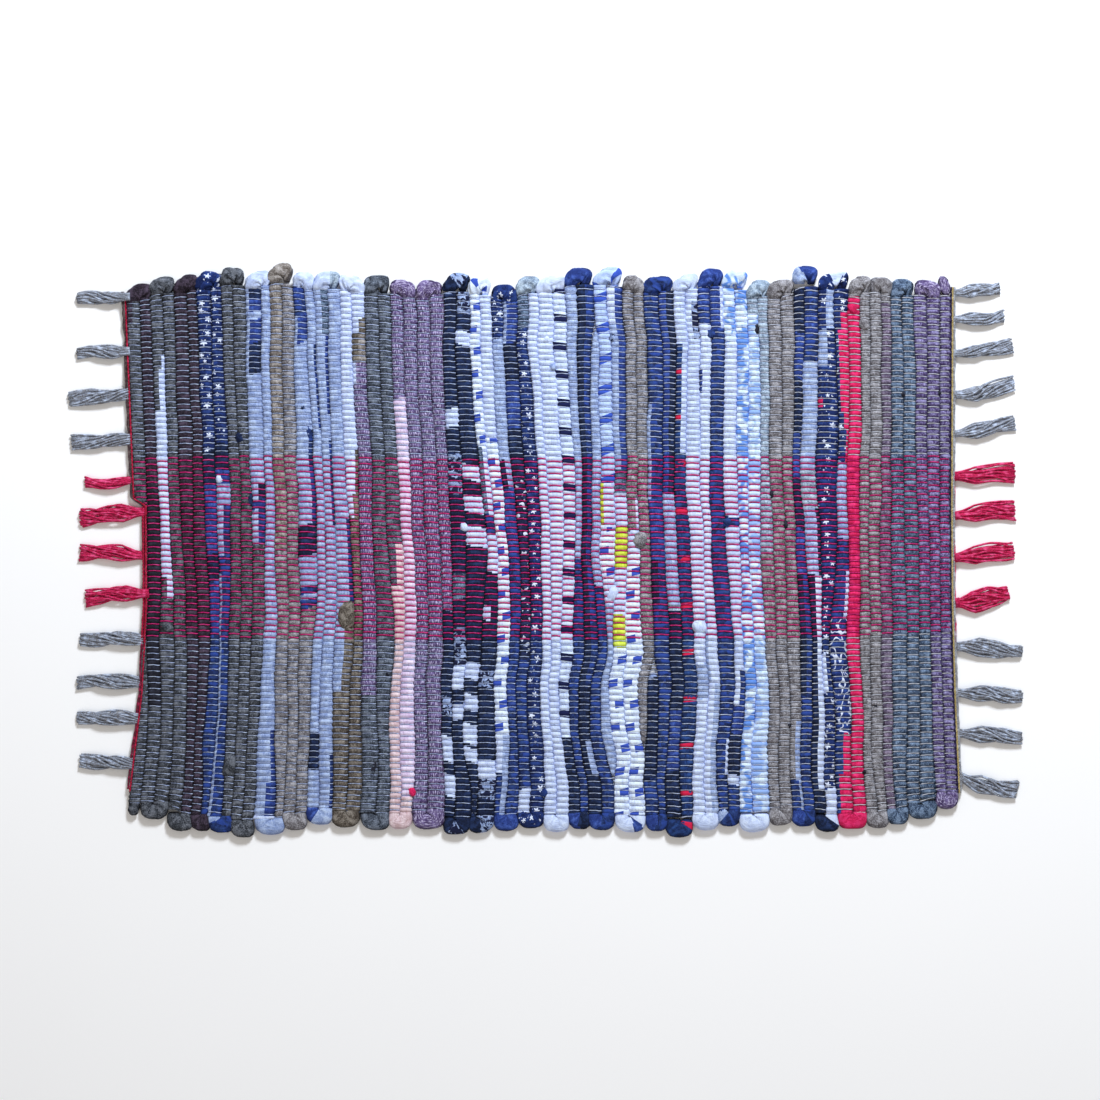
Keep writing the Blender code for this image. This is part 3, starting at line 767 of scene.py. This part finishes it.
def add_mesh(name, points, corners, sizes, flat_map, materials, chosen, strip_map, body_slot):
    """Makes a smooth piece of mesh from whole arrays, links it into the scene and hangs it on the
    root body.

    corners holds the faces' corner numbers one after another, sizes how many each face has,
    and chosen the number of each face's material. flat_map has every tube in a column of its
    own, for baking, and strip_map, if any, holds millimetres on the cloth.
    """
    maps = {} if strip_map is None else {"strip": strip_map}
    maps["OFBake"] = flat_map / (np.ceil(flat_map[:, 0].max()), 1.0)
    mesh = bpy.data.meshes.new(name)
    mesh.vertices.add(len(points))
    mesh.vertices.foreach_set("co", np.asarray(points, dtype=np.float32).ravel())
    mesh.loops.add(len(corners))
    mesh.loops.foreach_set("vertex_index", np.asarray(corners, dtype=np.int32))
    mesh.polygons.add(len(sizes))
    starts = np.concatenate([[0], np.cumsum(sizes)[:-1]])
    mesh.polygons.foreach_set("loop_start", starts.astype(np.int32))
    mesh.update(calc_edges=True)
    for material in materials:
        mesh.materials.append(material)
    if chosen is not None:
        mesh.polygons.foreach_set("material_index", np.asarray(chosen, dtype=np.int32))
    for title, values in maps.items():
        layer = mesh.uv_layers.new(name=title)
        layer.data.foreach_set("uv", np.asarray(values, dtype=np.float32).ravel())
    mesh.validate()
    mesh.shade_smooth()
    piece = bpy.data.objects.new(name, mesh)
    bpy.context.scene.collection.objects.link(piece)
    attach(piece, "root")
    return piece


def rag_mesh(name, lofts):
    """One piece from the rings of several strips. Its map "strip" holds the millimetres across
    (1000 * pass to the right) and along the strip."""
    meshes, chosen, strip_map = [], [], []
    for rings, spread, down, number, cloths in lofts:
        corners, sizes, flat_map = tube_faces(1, *spread.shape, mirrored=True)
        meshes.append((rings.reshape(-1, 3) * MM, corners, sizes, flat_map))
        widest = np.abs(spread).max(axis=1, keepdims=True)
        spots = 0.5 * (spread + np.roll(spread, -1, axis=1)) / widest
        along = np.repeat(down[:, None], spread.shape[1], axis=1)
        picks = cloth_numbers(cloths, along, spots)
        chosen += [picks[:-1].ravel(), picks[[0, -1], 3]]
        millimetres = np.stack([spread + 1000.0 * number, along], axis=2).reshape(-1, 2)
        strip_map.append(millimetres[corners])
    piece = add_mesh(name, *joined(meshes)[:4], fabrics, np.concatenate(chosen),
                     np.vstack(strip_map), "mixed_rags")
    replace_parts(piece, "rag_field")
    return piece


whole_passes = [n for n in range(len(PASSES)) if n not in [row[0] for row in RUNS]]
for rag_name, (rag_first, rag_last) in RAG_PIECES.items():
    rows = [(n, -9, 609) for n in whole_passes if rag_first <= n <= rag_last]
    rows += [row for row in RUNS if rag_first <= row[0] <= rag_last]
    woven = rag_mesh(rag_name, [pass_rings(*row) for row in rows])

for edge in TURNS:
    rag_mesh("folds_" + edge, [fold_rings(n, edge) for n, row in enumerate(PASSES)
                               if row[FOLD_CLOTH] and folded_at(n, edge)])


# --- Knots -----------------------------------------------------------------------------
# Where one torn strip ran out the next was tied to it. The knots sit on top of the passes as
# crushed lumps. The lumps in the near-black cloth dusk are painted shadow: they stand where holes
# between the passes show only shade.

# Knots. Columns: x, distance down, half its width and half its length (mm), how high its top
# stands (mm), its cloth.
KNOTS = (
    (-333, 178, 6, 6, 9.5, "black"), (-412, 385, 8.5, 5, 10.5, "grey"),
    (-355, 223, 5.5, 5, 9.0, "white"), (-344, 534, 8.5, 13, 10.5, "grey"),
    (-216, 371, 11, 17, 10.5, "brown"), (-145, 563, 5, 5, 10, "red"),
    (-96, 199, 6, 4.5, 10, "sprig"), (-89, 275, 5.5, 5, 10, "white"),
    (1, 71, 4.5, 4, 9.5, "white"), (8, 101, 4.5, 4, 9.5, "light"),
    (73, 69, 4.5, 4, 9.5, "sprig"), (103, 289, 9, 9, 11.5, "taupe"),
    (73, 347, 8, 9, 9.8, "white"), (180, 65, 5.5, 5, 10, "navy"),
    (198, 270, 6, 5, 10, "navy"), (168, 384, 10, 7, 9.8, "white"),
    (230, 60, 3, 6, 9.4, "dusk"), (334, 38, 6, 6, 10.5, "red"),
    (347, 55, 7, 6, 10, "taupe"), (-2, 564, 5, 5, 10, "stars"),
    (434, 12.5, 6.8, 10.5, 9.8, "purple"), (-448, 580, 7, 9, 8.2, "grey"),
    (-187, 538, 4, 9, 8.6, "dusk"), (247, 239, 5, 5, 8.6, "dusk"),
    (262, 272, 4.5, 5, 8.6, "dusk"),
    (359, 469, 3, 2.5, 8.6, "dusk"), (347, 541, 3.5, 2.5, 8.6, "dusk"),
    (366, 558, 3, 2.5, 8.6, "dusk"), (383, 535, 3, 2.5, 8.6, "dusk"),
    (389, 131, 3.5, 3, 8.6, "dusk"), (428, 129, 3, 2.5, 8.6, "dusk"),
    (-172, 435, 3, 3, 8.6, "dusk"), (265, 491, 3, 2.5, 8.6, "dusk"),
    (-264, 145, 3, 3.5, 8.6, "black"), (-321, 245, 4, 8, 8.7, "black"),
    (-257, 172, 4, 8, 8.7, "navy"),
)

KNOT_PLEAT, KNOT_PLEATS = 0.36, 5    # depth of its pleats as a share of the radius, how many
knot_rng = np.random.default_rng(41)


def knot_rings(x, down, half_width, half_length, top, cloth):
    """A crushed lump: rings of radius sin(t) ** 0.7, t from 0.06 pi to 0.94 pi down the rug,
    times 1 - depth * (1 - |sin(pleats / 2 * (angle + twist * t))|), at half its height."""
    t = np.linspace(0.06, 0.94, 9) * np.pi
    angles = 2.0 * np.pi * np.arange(12) / 12
    across, up = section(angles)
    round_ = angles[None, :] + knot_rng.uniform(-1.5, 1.5) * t[:, None] + knot_rng.uniform(0, 6)
    pleat = 1.0 - KNOT_PLEAT * (1.0 - np.abs(np.sin(0.5 * KNOT_PLEATS * round_)))
    size = np.sin(t)[:, None] ** 0.7 * pleat
    low = 0.5 * top
    spread = np.broadcast_to(across[None, :] * half_width, size.shape)
    lean = knot_rng.uniform(-0.25, 0.25)
    y = UPPER_EDGE - down + half_length * np.cos(t)[:, None]
    points = np.stack([
        x + spread * size + lean * (y - UPPER_EDGE + down),
        y + 0.0 * size, low + (top - low) * up[None, :] * size], axis=2)
    return points[::-1], spread, down + half_length * t[::-1], 100 + int(x) % 7, cloth


rag_mesh("knots", [knot_rings(*row) for row in KNOTS])


# --- Warps -----------------------------------------------------------------------------
# Cotton threads stretched on the loom along the rug, grey at both sides and crimson-pink in
# the middle. Each goes over one pass of rag and under the next, and they are beaten so close
# that only short lengths show between the beads.
WARP_GROUPS = {
    "warps_upper": (0, 59, "grey_warp", 0.74),
    "warps_middle": (59, 120, "magenta_warp", 1.02),
    "warps_lower": (120, WARPS, "grey_warp", 0.7),
}
WARP_SPOTS = (-0.66, 0.0, 0.66)      # places in a pass, as shares of its half width
WARP_TILT = 0.05                     # a warp runs down a little from left to right in a pass
WARP_BOW = 0.6                       # how far it arches up the rug within a pass (mm)
CREAMY_FROM = (0.0, 0.45)            # x where it turns creamy and where it is creamiest (m)
CREAM = (214, 210, 204)


def thread_finish(name, lit, body, shaded, creamy=0.0):
    """Soft plied cotton: slanting ply marks, darker toward the shaded colour as painted shade in
    the grooves between the plies, and some paler fluff in the lit colour, a painted highlight.
    Where creamy is above 0 it is that much creamier at the right of the rug than at the left."""
    thread = Finish(name, 0.85)
    ply = thread.noise(thread.position(900.0, 1500.0, 900.0), 1.0, 1.0)
    fluff = thread.noise(thread.position(160.0, 260.0, 160.0), 1.0, 2.0)
    # Painted shade in the ply grooves, then painted highlight on the fluff.
    shade = thread.mix(thread.clamp(ply, 0.55, 0.38), tint(*body), tint(*shaded))
    shade = thread.mix(thread.clamp(fluff, 0.5, 0.7) * 0.7, shade, tint(*lit))
    if creamy:
        share = thread.clamp(thread.part(thread.position(1.0, 1.0, 1.0), "X"), *CREAMY_FROM)
        shade = thread.mix(share * creamy, shade, tint(*CREAM))
    return thread.finish(shade, ply, 0.4, 0.5 * MM)


warp_finishes = {
    "grey_warp": thread_finish("warp_grey", (222, 234, 254), (184, 199, 236), (122, 137, 174), 0.7),
    "magenta_warp": thread_finish("warp_pink", (230, 84, 156), (204, 34, 116), (142, 14, 78)),
}


def tube_mesh(paths, radii, sides_round):
    """Tubes along many paths of equal length: point = path + radius * (across * cos(turn) +
    upright * sin(turn)), with upright near z. Returns points, corner numbers, face sizes and
    the flat map."""
    many, count = paths.shape[:2]
    run = np.gradient(paths, axis=1)
    run /= np.linalg.norm(run, axis=2, keepdims=True)
    across = np.cross(run, (0.0, 0.0, 1.0))
    across /= np.linalg.norm(across, axis=2, keepdims=True)
    upright = np.cross(across, run)
    turn = 2.0 * np.pi * np.arange(sides_round) / sides_round + 0.5 * np.pi
    radii = np.broadcast_to(radii, (many, count))[:, :, None, None]
    points = paths[:, :, None] + radii * (
        across[:, :, None] * np.cos(turn)[None, None, :, None]
        + upright[:, :, None] * np.sin(turn)[None, None, :, None])
    return points.reshape(-1, 3), *tube_faces(many, count, sides_round)


def warp_paths(first, last, radius):
    """Middle lines of some warps: height = RAG_MIDDLE +- (dented rag's height + 1.1 * radius),
    up where warp + pass is even and down where it is odd."""
    warps = np.arange(first, last)[:, None, None]
    passes = np.arange(len(PASSES))[None, :, None]
    spots = np.array(WARP_SPOTS)[None, None, :]
    down = np.interp(warps, WARP_PLACES[:, 0], WARP_PLACES[:, 1]) + 0.0 * passes + 0.0 * spots
    for _ in range(2):
        half = pass_half(passes, down)
        x = pass_middle(passes, down) + half * spots
        y = warp_y(warps, x)
        down = UPPER_EDGE - y
    y = y - WARP_TILT * half * spots + WARP_BOW * (1.0 - 2.0 * spots ** 2)
    sign = np.where((warps + passes) % 2 == 0, 1.0, -1.0) * np.clip(half / 3.0 - 0.4, 0.0, 1.0)
    height = RAG_RISE * (1.0 - BEAD_DIP) * (1.0 - spots ** 2) ** 0.4 + 1.1 * radius
    z = RAG_MIDDLE + sign * height
    many = last - first
    return MM * np.stack([x, y, z + 0.0 * x], axis=3).reshape(many, -1, 3)


for warp_name, (warp_first, warp_last, warp_slot, warp_radius) in WARP_GROUPS.items():
    threads = tube_mesh(warp_paths(warp_first, warp_last, warp_radius), warp_radius * MM, 3)
    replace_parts(add_mesh(warp_name, *threads, [warp_finishes[warp_slot]], None, None, warp_slot),
                "rag_field")


# --- Headings --------------------------------------------------------------------------
# Each end of the cloth is closed by cords twined round the warps: crimson over drab ones at
# the left, straw-coloured ones behind a dark line at the right. The warps come out between
# them and run along the outside to the nearest tassel.

# The cords. Columns: end, distance outside the cloth, height, radius of one ply, length of
# a full turn, distances down where it starts and stops (mm), finish.
HEADING_CORDS = (
    ("left", -0.4, 7.0, 0.52, 7.5, 24, 262, "crimson"),
    ("left", 0.2, 7.1, 0.6, 7.0, 250, 400, "crimson"),
    ("left", 3.2, 6.0, 0.6, 7.6, 252, 396, "crimson"),
    ("left", -0.4, 7.0, 0.54, 7.5, 396, 563, "crimson"),
    ("right", 0.2, 6.4, 0.56, 14.0, 14, 564, "inky"),
    ("right", 1.6, 6.2, 0.62, 5.6, 14, 564, "straw"),
    ("right", 3.1, 5.0, 0.6, 6.4, 14, 564, "flax"),
)

# Warp ends that run along the outside, loosely side by side. Columns: end, how near the cloth
# and how far out they stray, height of their middle, radius, distances down between which
# they run (mm), how many, finish.
HEADING_STRAYS = (
    ("left", 1.0, 3.8, 5.0, 0.66, 19, 262, 5, "drab"),
    ("left", 1.4, 4.2, 3.2, 0.7, 22, 262, 2, "flax"),
    ("left", 1.2, 4.4, 4.8, 0.66, 256, 400, 5, "maroon"),
    ("left", 1.0, 4.2, 2.6, 0.7, 250, 404, 3, "drab"),
    ("left", 1.0, 4.0, 5.0, 0.66, 392, 564, 5, "maroon"),
    ("left", 1.0, 4.4, 2.4, 0.7, 392, 560, 3, "flax"),
    ("right", 2.6, 5.4, 3.4, 0.7, 14, 240, 5, "flax"),
    ("right", 2.6, 5.6, 3.6, 0.7, 225, 405, 5, "rose"),
    ("right", 2.6, 5.4, 3.4, 0.7, 392, 564, 5, "flax"),
    ("right", 3.2, 5.2, 4.8, 0.55, 14, 564, 2, "flax"),
)
heading_finishes = {
    "crimson": thread_finish("twine_crimson", (222, 58, 100), (184, 20, 62), (112, 8, 32)),
    "maroon": thread_finish("twine_maroon", (196, 52, 100), (112, 30, 56), (52, 24, 32)),
    "rose": thread_finish("twine_rose", (238, 90, 148), (206, 40, 96), (150, 20, 54)),
    "drab": thread_finish("twine_drab", (122, 108, 104), (84, 66, 68), (48, 34, 40)),
    "flax": thread_finish("twine_flax", (208, 213, 222), (166, 170, 180), (104, 99, 97)),
    "straw": thread_finish("twine_straw", (228, 212, 160), (198, 178, 118), (140, 118, 68)),
    "inky": thread_finish("twine_inky", (70, 64, 104), (38, 32, 66), (20, 16, 36)),
}


OUTWARDS = {"left": -1.0, "right": 1.0}


def end_x(end, down, outside=0.0):
    """X so far outside one end of the cloth (mm)."""
    column = {"left": 1, "right": 2}[end]
    return np.interp(down, CLOTH_ENDS[:, 0], CLOTH_ENDS[:, column]) + OUTWARDS[end] * outside


def twisted_paths(end, outside, height, radius, turn, start, stop):
    """Two plies wound round a line along the end: line + radius * (cos, sin)(2 pi * way /
    turn), half a turn apart."""
    down = np.linspace(start, stop, int((stop - start) / turn * 7))
    x = end_x(end, down, outside)
    way = np.concatenate([[0.0], np.cumsum(np.hypot(np.diff(x), np.diff(down)))])
    angle = 2.0 * np.pi * (way / turn + np.array([[0.0], [0.5]]))
    return MM * np.stack([
        x + radius * np.cos(angle), np.broadcast_to(UPPER_EDGE - down, angle.shape),
        height + radius * np.sin(angle)], axis=2)


def stray_paths(end, near, far, height, radius, start, stop, count):
    """Threads along an end, with a point every 4 mm: each wanders between near and far from
    the cloth, and 1 mm up and down."""
    down = np.arange(start, stop, 4.0)
    drift, rise = (np.array([wander(len(down), every) for _ in range(count)])
                   for every in (3, 4))
    x = end_x(end, down, near + (far - near) * (0.5 + 0.5 * drift))
    return MM * np.stack([x, UPPER_EDGE - down + 0.0 * drift, height + rise], axis=2)


for heading_end, heading_slot in (("left", "crimson_twine"), ("right", "straw_twine")):
    cords = [row for row in HEADING_CORDS if row[0] == heading_end]
    titles = list(heading_finishes)
    strays = [row for row in HEADING_STRAYS if row[0] == heading_end]
    *heading_mesh, source = joined([
        tube_mesh(twisted_paths(*row[:7]), 1.08 * row[3] * MM, 4) for row in cords] + [
        tube_mesh(stray_paths(*row[:8]), row[4] * MM, 5) for row in strays])
    chosen = np.array([titles.index(row[-1]) for row in cords + strays])[source]
    heading = add_mesh("twined_heading_" + heading_end, *heading_mesh,
                       list(heading_finishes.values()), chosen, None, heading_slot)
    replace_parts(heading, "heading_" + heading_end)


# --- Tassels ---------------------------------------------------------------------------
# The warps left over at both ends are gathered in bundles and cut off blunt, and the crimson
# ones at the right are bound with thread. Each keeps a slow twist and lies on the floor.
TASSEL_ROOT = 8.5            # thickness of a bundle at its root (mm)
TASSEL_BELLY = 7.4           # where it is widest
TASSEL_TIP = 5.2             # at the cut
STRAND_RADIUS = 1.12
HEADING_WIDTH = 3.0          # from the cloth to where a tassel starts (mm)
HANK, OWN = 0.34, 0.66       # shares of a strand's place from its hank and from within it
BINDING_RADIUS = 0.6

# Columns: height of the root along Y, tip's x and y, width at the root, at the belly and at
# the cut end, swing of the belly along Y, how far the root reaches in over the heading (mm),
# turns of twist from root to tip.
TASSELS = {
    "left": (
        (275, -511, 273, 10, 16, 12, 1, 9, 0.45),
        (216, -511, 214, 11, 16, 12, 1, 6, 0.45),
        (170, -520, 165, 16, 17, 16, -1, 3, -0.5),
        (120, -517, 116, 15, 16, 16, 1, 3, -0.5),
        (76, -502, 73, 10, 12, 15, -2, 2, 0.3),
        (42, -508, 36, 11, 20, 23, 0, 3, 0.35),
        (-6, -508, -2, 11, 19, 21, 1, 1, 0.35),
        (-47, -502, -52, 11, 19, 21, 1, 6, 0.35),
        (-97, -508, -98, 15, 17, 13, 1, 2, 0.5),
        (-144, -511, -145, 15, 17, 14, 2, 1, 0.5),
        (-184, -511, -184, 15, 17, 14, 2, 3, 0.5),
        (-233, -508, -230, 15, 17, 15, 1, 3, 0.5),
    ),
    "right": (
        (280, 495, 286, 9, 15, 16, -1, 0, -0.3),
        (251, 500, 254, 9, 15, 16, -1, 0, -0.3),
        (214, 509, 224, 10, 16, 16, -2, 0, -0.4),
        (169, 511, 183, 11, 20, 16, -4, 0, -0.4),
        (126, 512, 138, 9, 18, 17, 0, 0, -0.4),
        (80, 512, 85, 12, 18, 24, 0, 0, 0.2),
        (37, 512, 44, 11, 18, 23, 1, 0, 0.2),
        (-9, 511, 0, 12, 20, 21, 1, 0, 0.2),
        (-58, 505, -45, 12, 24, 20, -3, 0, 0.3),
        (-105, 520, -111, 12, 20, 14, 1, 0, 0.4),
        (-155, 520, -159, 11, 20, 13, 0, 0, 0.4),
        (-199, 520, -204, 11, 20, 13, 0, 0, 0.4),
        (-246, 515, -260, 12, 21, 20, -5, 0, 0.4),
    ),
}
CRIMSON_TASSELS = {"left": range(5, 9), "right": range(6, 10)}
tassel_rng = np.random.default_rng(5)
tassel_finishes = {
    "grey": thread_finish("yarn_grey", (200, 213, 236), (144, 153, 170), (92, 84, 78)),
    "crimson": thread_finish("yarn_pink", (238, 96, 152), (204, 32, 90), (126, 14, 42)),
}


def tassel_line(end, row):
    """A tassel's root, its unit vectors along and across, and its length (mm)."""
    root_y, tip_x, tip_y, inwards = row[0], row[1], row[2], row[7]
    start = np.array([end_x(end, UPPER_EDGE - root_y, HEADING_WIDTH - inwards), root_y])
    run = np.array([tip_x, tip_y]) - start
    length = np.linalg.norm(run)
    return start, run / length, np.array([-run[1], run[0]]) / length, length


def beside_line(line, ahead, aside, z):
    """Points so far along and across a tassel's line, and so far above the floor."""
    start, along, across, _ = line
    x, y = (start[k] + along[k] * ahead + across[k] * aside for k in (0, 1))
    return MM * np.stack([x, y, z], axis=-1)


def strand_paths(end, row, strands):
    """Middle lines of a tassel's strands, which lie in two hanks wound slowly round each other.

    At a share t of the length, with wind = pi * hank + 2 pi * twist * t and turn = own angle
    + 1.6 pi * twist * t + a small sway, a strand lies at line(t) + width(t) / 2 *
    (0.34 * cos(wind), to the power 0.7, + 0.66 * ring * cos(turn)) across and thick(t) / 2 *
    (1 + 0.34 * sin(wind) + 0.66 * ring * sin(turn)) up. The line waves a little, and width
    runs from root over belly to cut end.
    """
    root, belly, cut, swing, inwards, twist = row[3:]
    line = tassel_line(end, row)
    length = line[3]
    hank, ring, own = (np.array(values)[:, None] for values in zip(*strands))
    t = np.linspace(0.0, 1.0, 15)[None, :]
    trim = 1.0 - 0.04 * tassel_rng.random((len(strands), 1))
    sway = 0.3 * np.sin(2.0 * np.pi * (t * tassel_rng.uniform(0.8, 1.8, (len(strands), 1))
                                       + tassel_rng.random((len(strands), 1))))
    wind = np.pi * (hank + tassel_rng.uniform(-0.2, 0.15)) + 2.0 * np.pi * twist * t
    turn = own + 1.6 * np.pi * twist * t + sway * np.minimum(1.0, 4.0 * t)
    width = np.interp(t, (0, 0.07, 0.14, 0.36, 0.66, 1), (
        0.92 * root, 0.88 * root, root, 1.1 * belly, 1.13 * belly, 1.1 * cut))
    width -= 2.0 * STRAND_RADIUS
    thick = np.interp(t, (0, 0.12, 0.6, 1), (
        TASSEL_ROOT - 2.5, TASSEL_ROOT, TASSEL_BELLY, TASSEL_TIP)) - 2.0 * STRAND_RADIUS
    lift = max(0.0, inwards - 1.0) * 0.9 * np.clip(1.0 - t * length / 12.0, 0.0, 1.0)
    beside = np.sign(np.cos(wind)) * np.abs(np.cos(wind)) ** 0.7
    wave = np.sin(2.0 * np.pi * (tassel_rng.uniform(0.9, 1.4) * t + tassel_rng.random()))
    aside = 0.5 * width * (HANK * beside + OWN * ring * np.cos(turn)) + 1.1 * wave * t ** 0.5
    aside += swing * OUTWARDS[end] * np.sin(np.pi * t)
    z = STRAND_RADIUS + 0.5 * thick * (
        1.0 + HANK * np.sin(wind) + OWN * ring * np.sin(turn)) + lift
    return beside_line(line, t * length * trim, aside, z)


def binding_path(end, row):
    """Four turns of thread round a tassel's neck: an ellipse just outside its strands."""
    turn = np.linspace(0.0, 4.0, 37)
    aside = (0.36 * row[3] + 0.4) * np.cos(2.0 * np.pi * turn)
    z = 0.5 * (TASSEL_ROOT - 0.8) * (1.0 + 0.96 * np.sin(2.0 * np.pi * turn)) + 0.3
    return beside_line(tassel_line(end, row), 2.5 + 1.15 * turn, aside, z)[None]


TASSEL_STRANDS = [(hank, 1.0, np.pi * (k + 0.5 * hank) / 4) for hank in (0, 1) for k in range(8)]
TASSEL_STRANDS += [(hank, 0.42, np.pi * (2 * k + 0.6) / 3) for hank in (0, 1) for k in range(3)]

for tassel_end, tassel_rows in TASSELS.items():
    for tassel_number, tassel_row in enumerate(tassel_rows, start=1):
        bright = tassel_number in CRIMSON_TASSELS[tassel_end]
        bundle = tube_mesh(strand_paths(tassel_end, tassel_row, TASSEL_STRANDS),
                           STRAND_RADIUS * MM, 5)
        if bright and tassel_end == "right":
            bundle = joined([bundle, tube_mesh(
                binding_path(tassel_end, tassel_row), BINDING_RADIUS * MM, 5)])[:4]
        title = "{}_{:02d}".format(tassel_end, tassel_number)
        tassel = add_mesh("bundle_" + title, *bundle,
                          [tassel_finishes["crimson" if bright else "grey"]], None, None,
                          "magenta_warp" if bright else "grey_warp")
        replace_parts(tassel, "tassel_" + title)


# --- Floor, light and camera -----------------------------------------------------------
# The rug lies flat on a white studio floor and is looked at from straight above, in wide
# soft light that comes a little from beyond its upper edge.
FRAME_WIDTH = 1.199          # metres of floor across the view
FRAME_MIDDLE = 0.0049        # x of the middle of the view
LENS, SENSOR = 85.0, 36.0    # mm

floor_finish = Finish("studio_floor", 0.95)
floor_mesh = bpy.data.meshes.new("floor")
floor_mesh.from_pydata([(-6, -6, 0), (6, -6, 0), (6, 6, 0), (-6, 6, 0)], [], [(0, 1, 2, 3)])
floor_mesh.materials.append(floor_finish.finish(
    floor_finish.mix(floor_finish.noise(floor_finish.position(3.0, 3.0, 3.0)),
                     (0.96, 0.96, 0.96, 1.0), (0.98, 0.98, 0.98, 1.0))))
floor = bpy.data.objects.new("floor", floor_mesh)
bpy.context.scene.collection.objects.link(floor)

# The key light is a round soft box beyond the upper edge, which is the brighter one for it.
# Columns: name, kind, power (W) or strength (W/m2), colour, how wide it is (m) or what angle
# it comes in over (degrees), slope from upright, turn (degrees).
LIGHTS = (
    ("key", "AREA", 99.0, (0.86, 0.92, 1.0), 0.6, 55.0, -14.0),
    ("fill", "SUN", 0.6, (1.0, 0.93, 0.86), 60.0, 35.0, 160.0),
)
KEY_DISTANCE = 2.8           # metres from the middle of the rug
for light_name, light_kind, power, light_colour, wide, *angles in LIGHTS:
    lamp = bpy.data.lights.new(light_name, light_kind)
    lamp.energy, lamp.color = power, light_colour
    if light_kind == "AREA":
        lamp.shape, lamp.size = "DISK", wide
    else:
        lamp.angle = np.radians(wide)
    holder = bpy.data.objects.new(light_name, lamp)
    slope, bearing = np.radians(angles)
    holder.rotation_euler = (-slope, 0.0, bearing)
    holder.location = KEY_DISTANCE * np.array((
        -np.sin(slope) * np.sin(bearing), np.sin(slope) * np.cos(bearing),
        np.cos(slope)))
    bpy.context.scene.collection.objects.link(holder)

world = bpy.data.worlds.new("studio")
world.use_nodes = True
background = world.node_tree.nodes["Background"]
background.inputs["Color"].default_value = (1.0, 0.97, 0.94, 1.0)
background.inputs["Strength"].default_value = 0.33
bpy.context.scene.world = world
bpy.context.scene.view_settings.view_transform = "Standard"

view = bpy.data.cameras.new("view")
view.lens, view.sensor_width = LENS, SENSOR
eye = bpy.data.objects.new("view", view)
eye.location = (FRAME_MIDDLE, 0.0, FRAME_WIDTH * LENS / SENSOR)
bpy.context.scene.collection.objects.link(eye)
bpy.context.scene.camera = eye
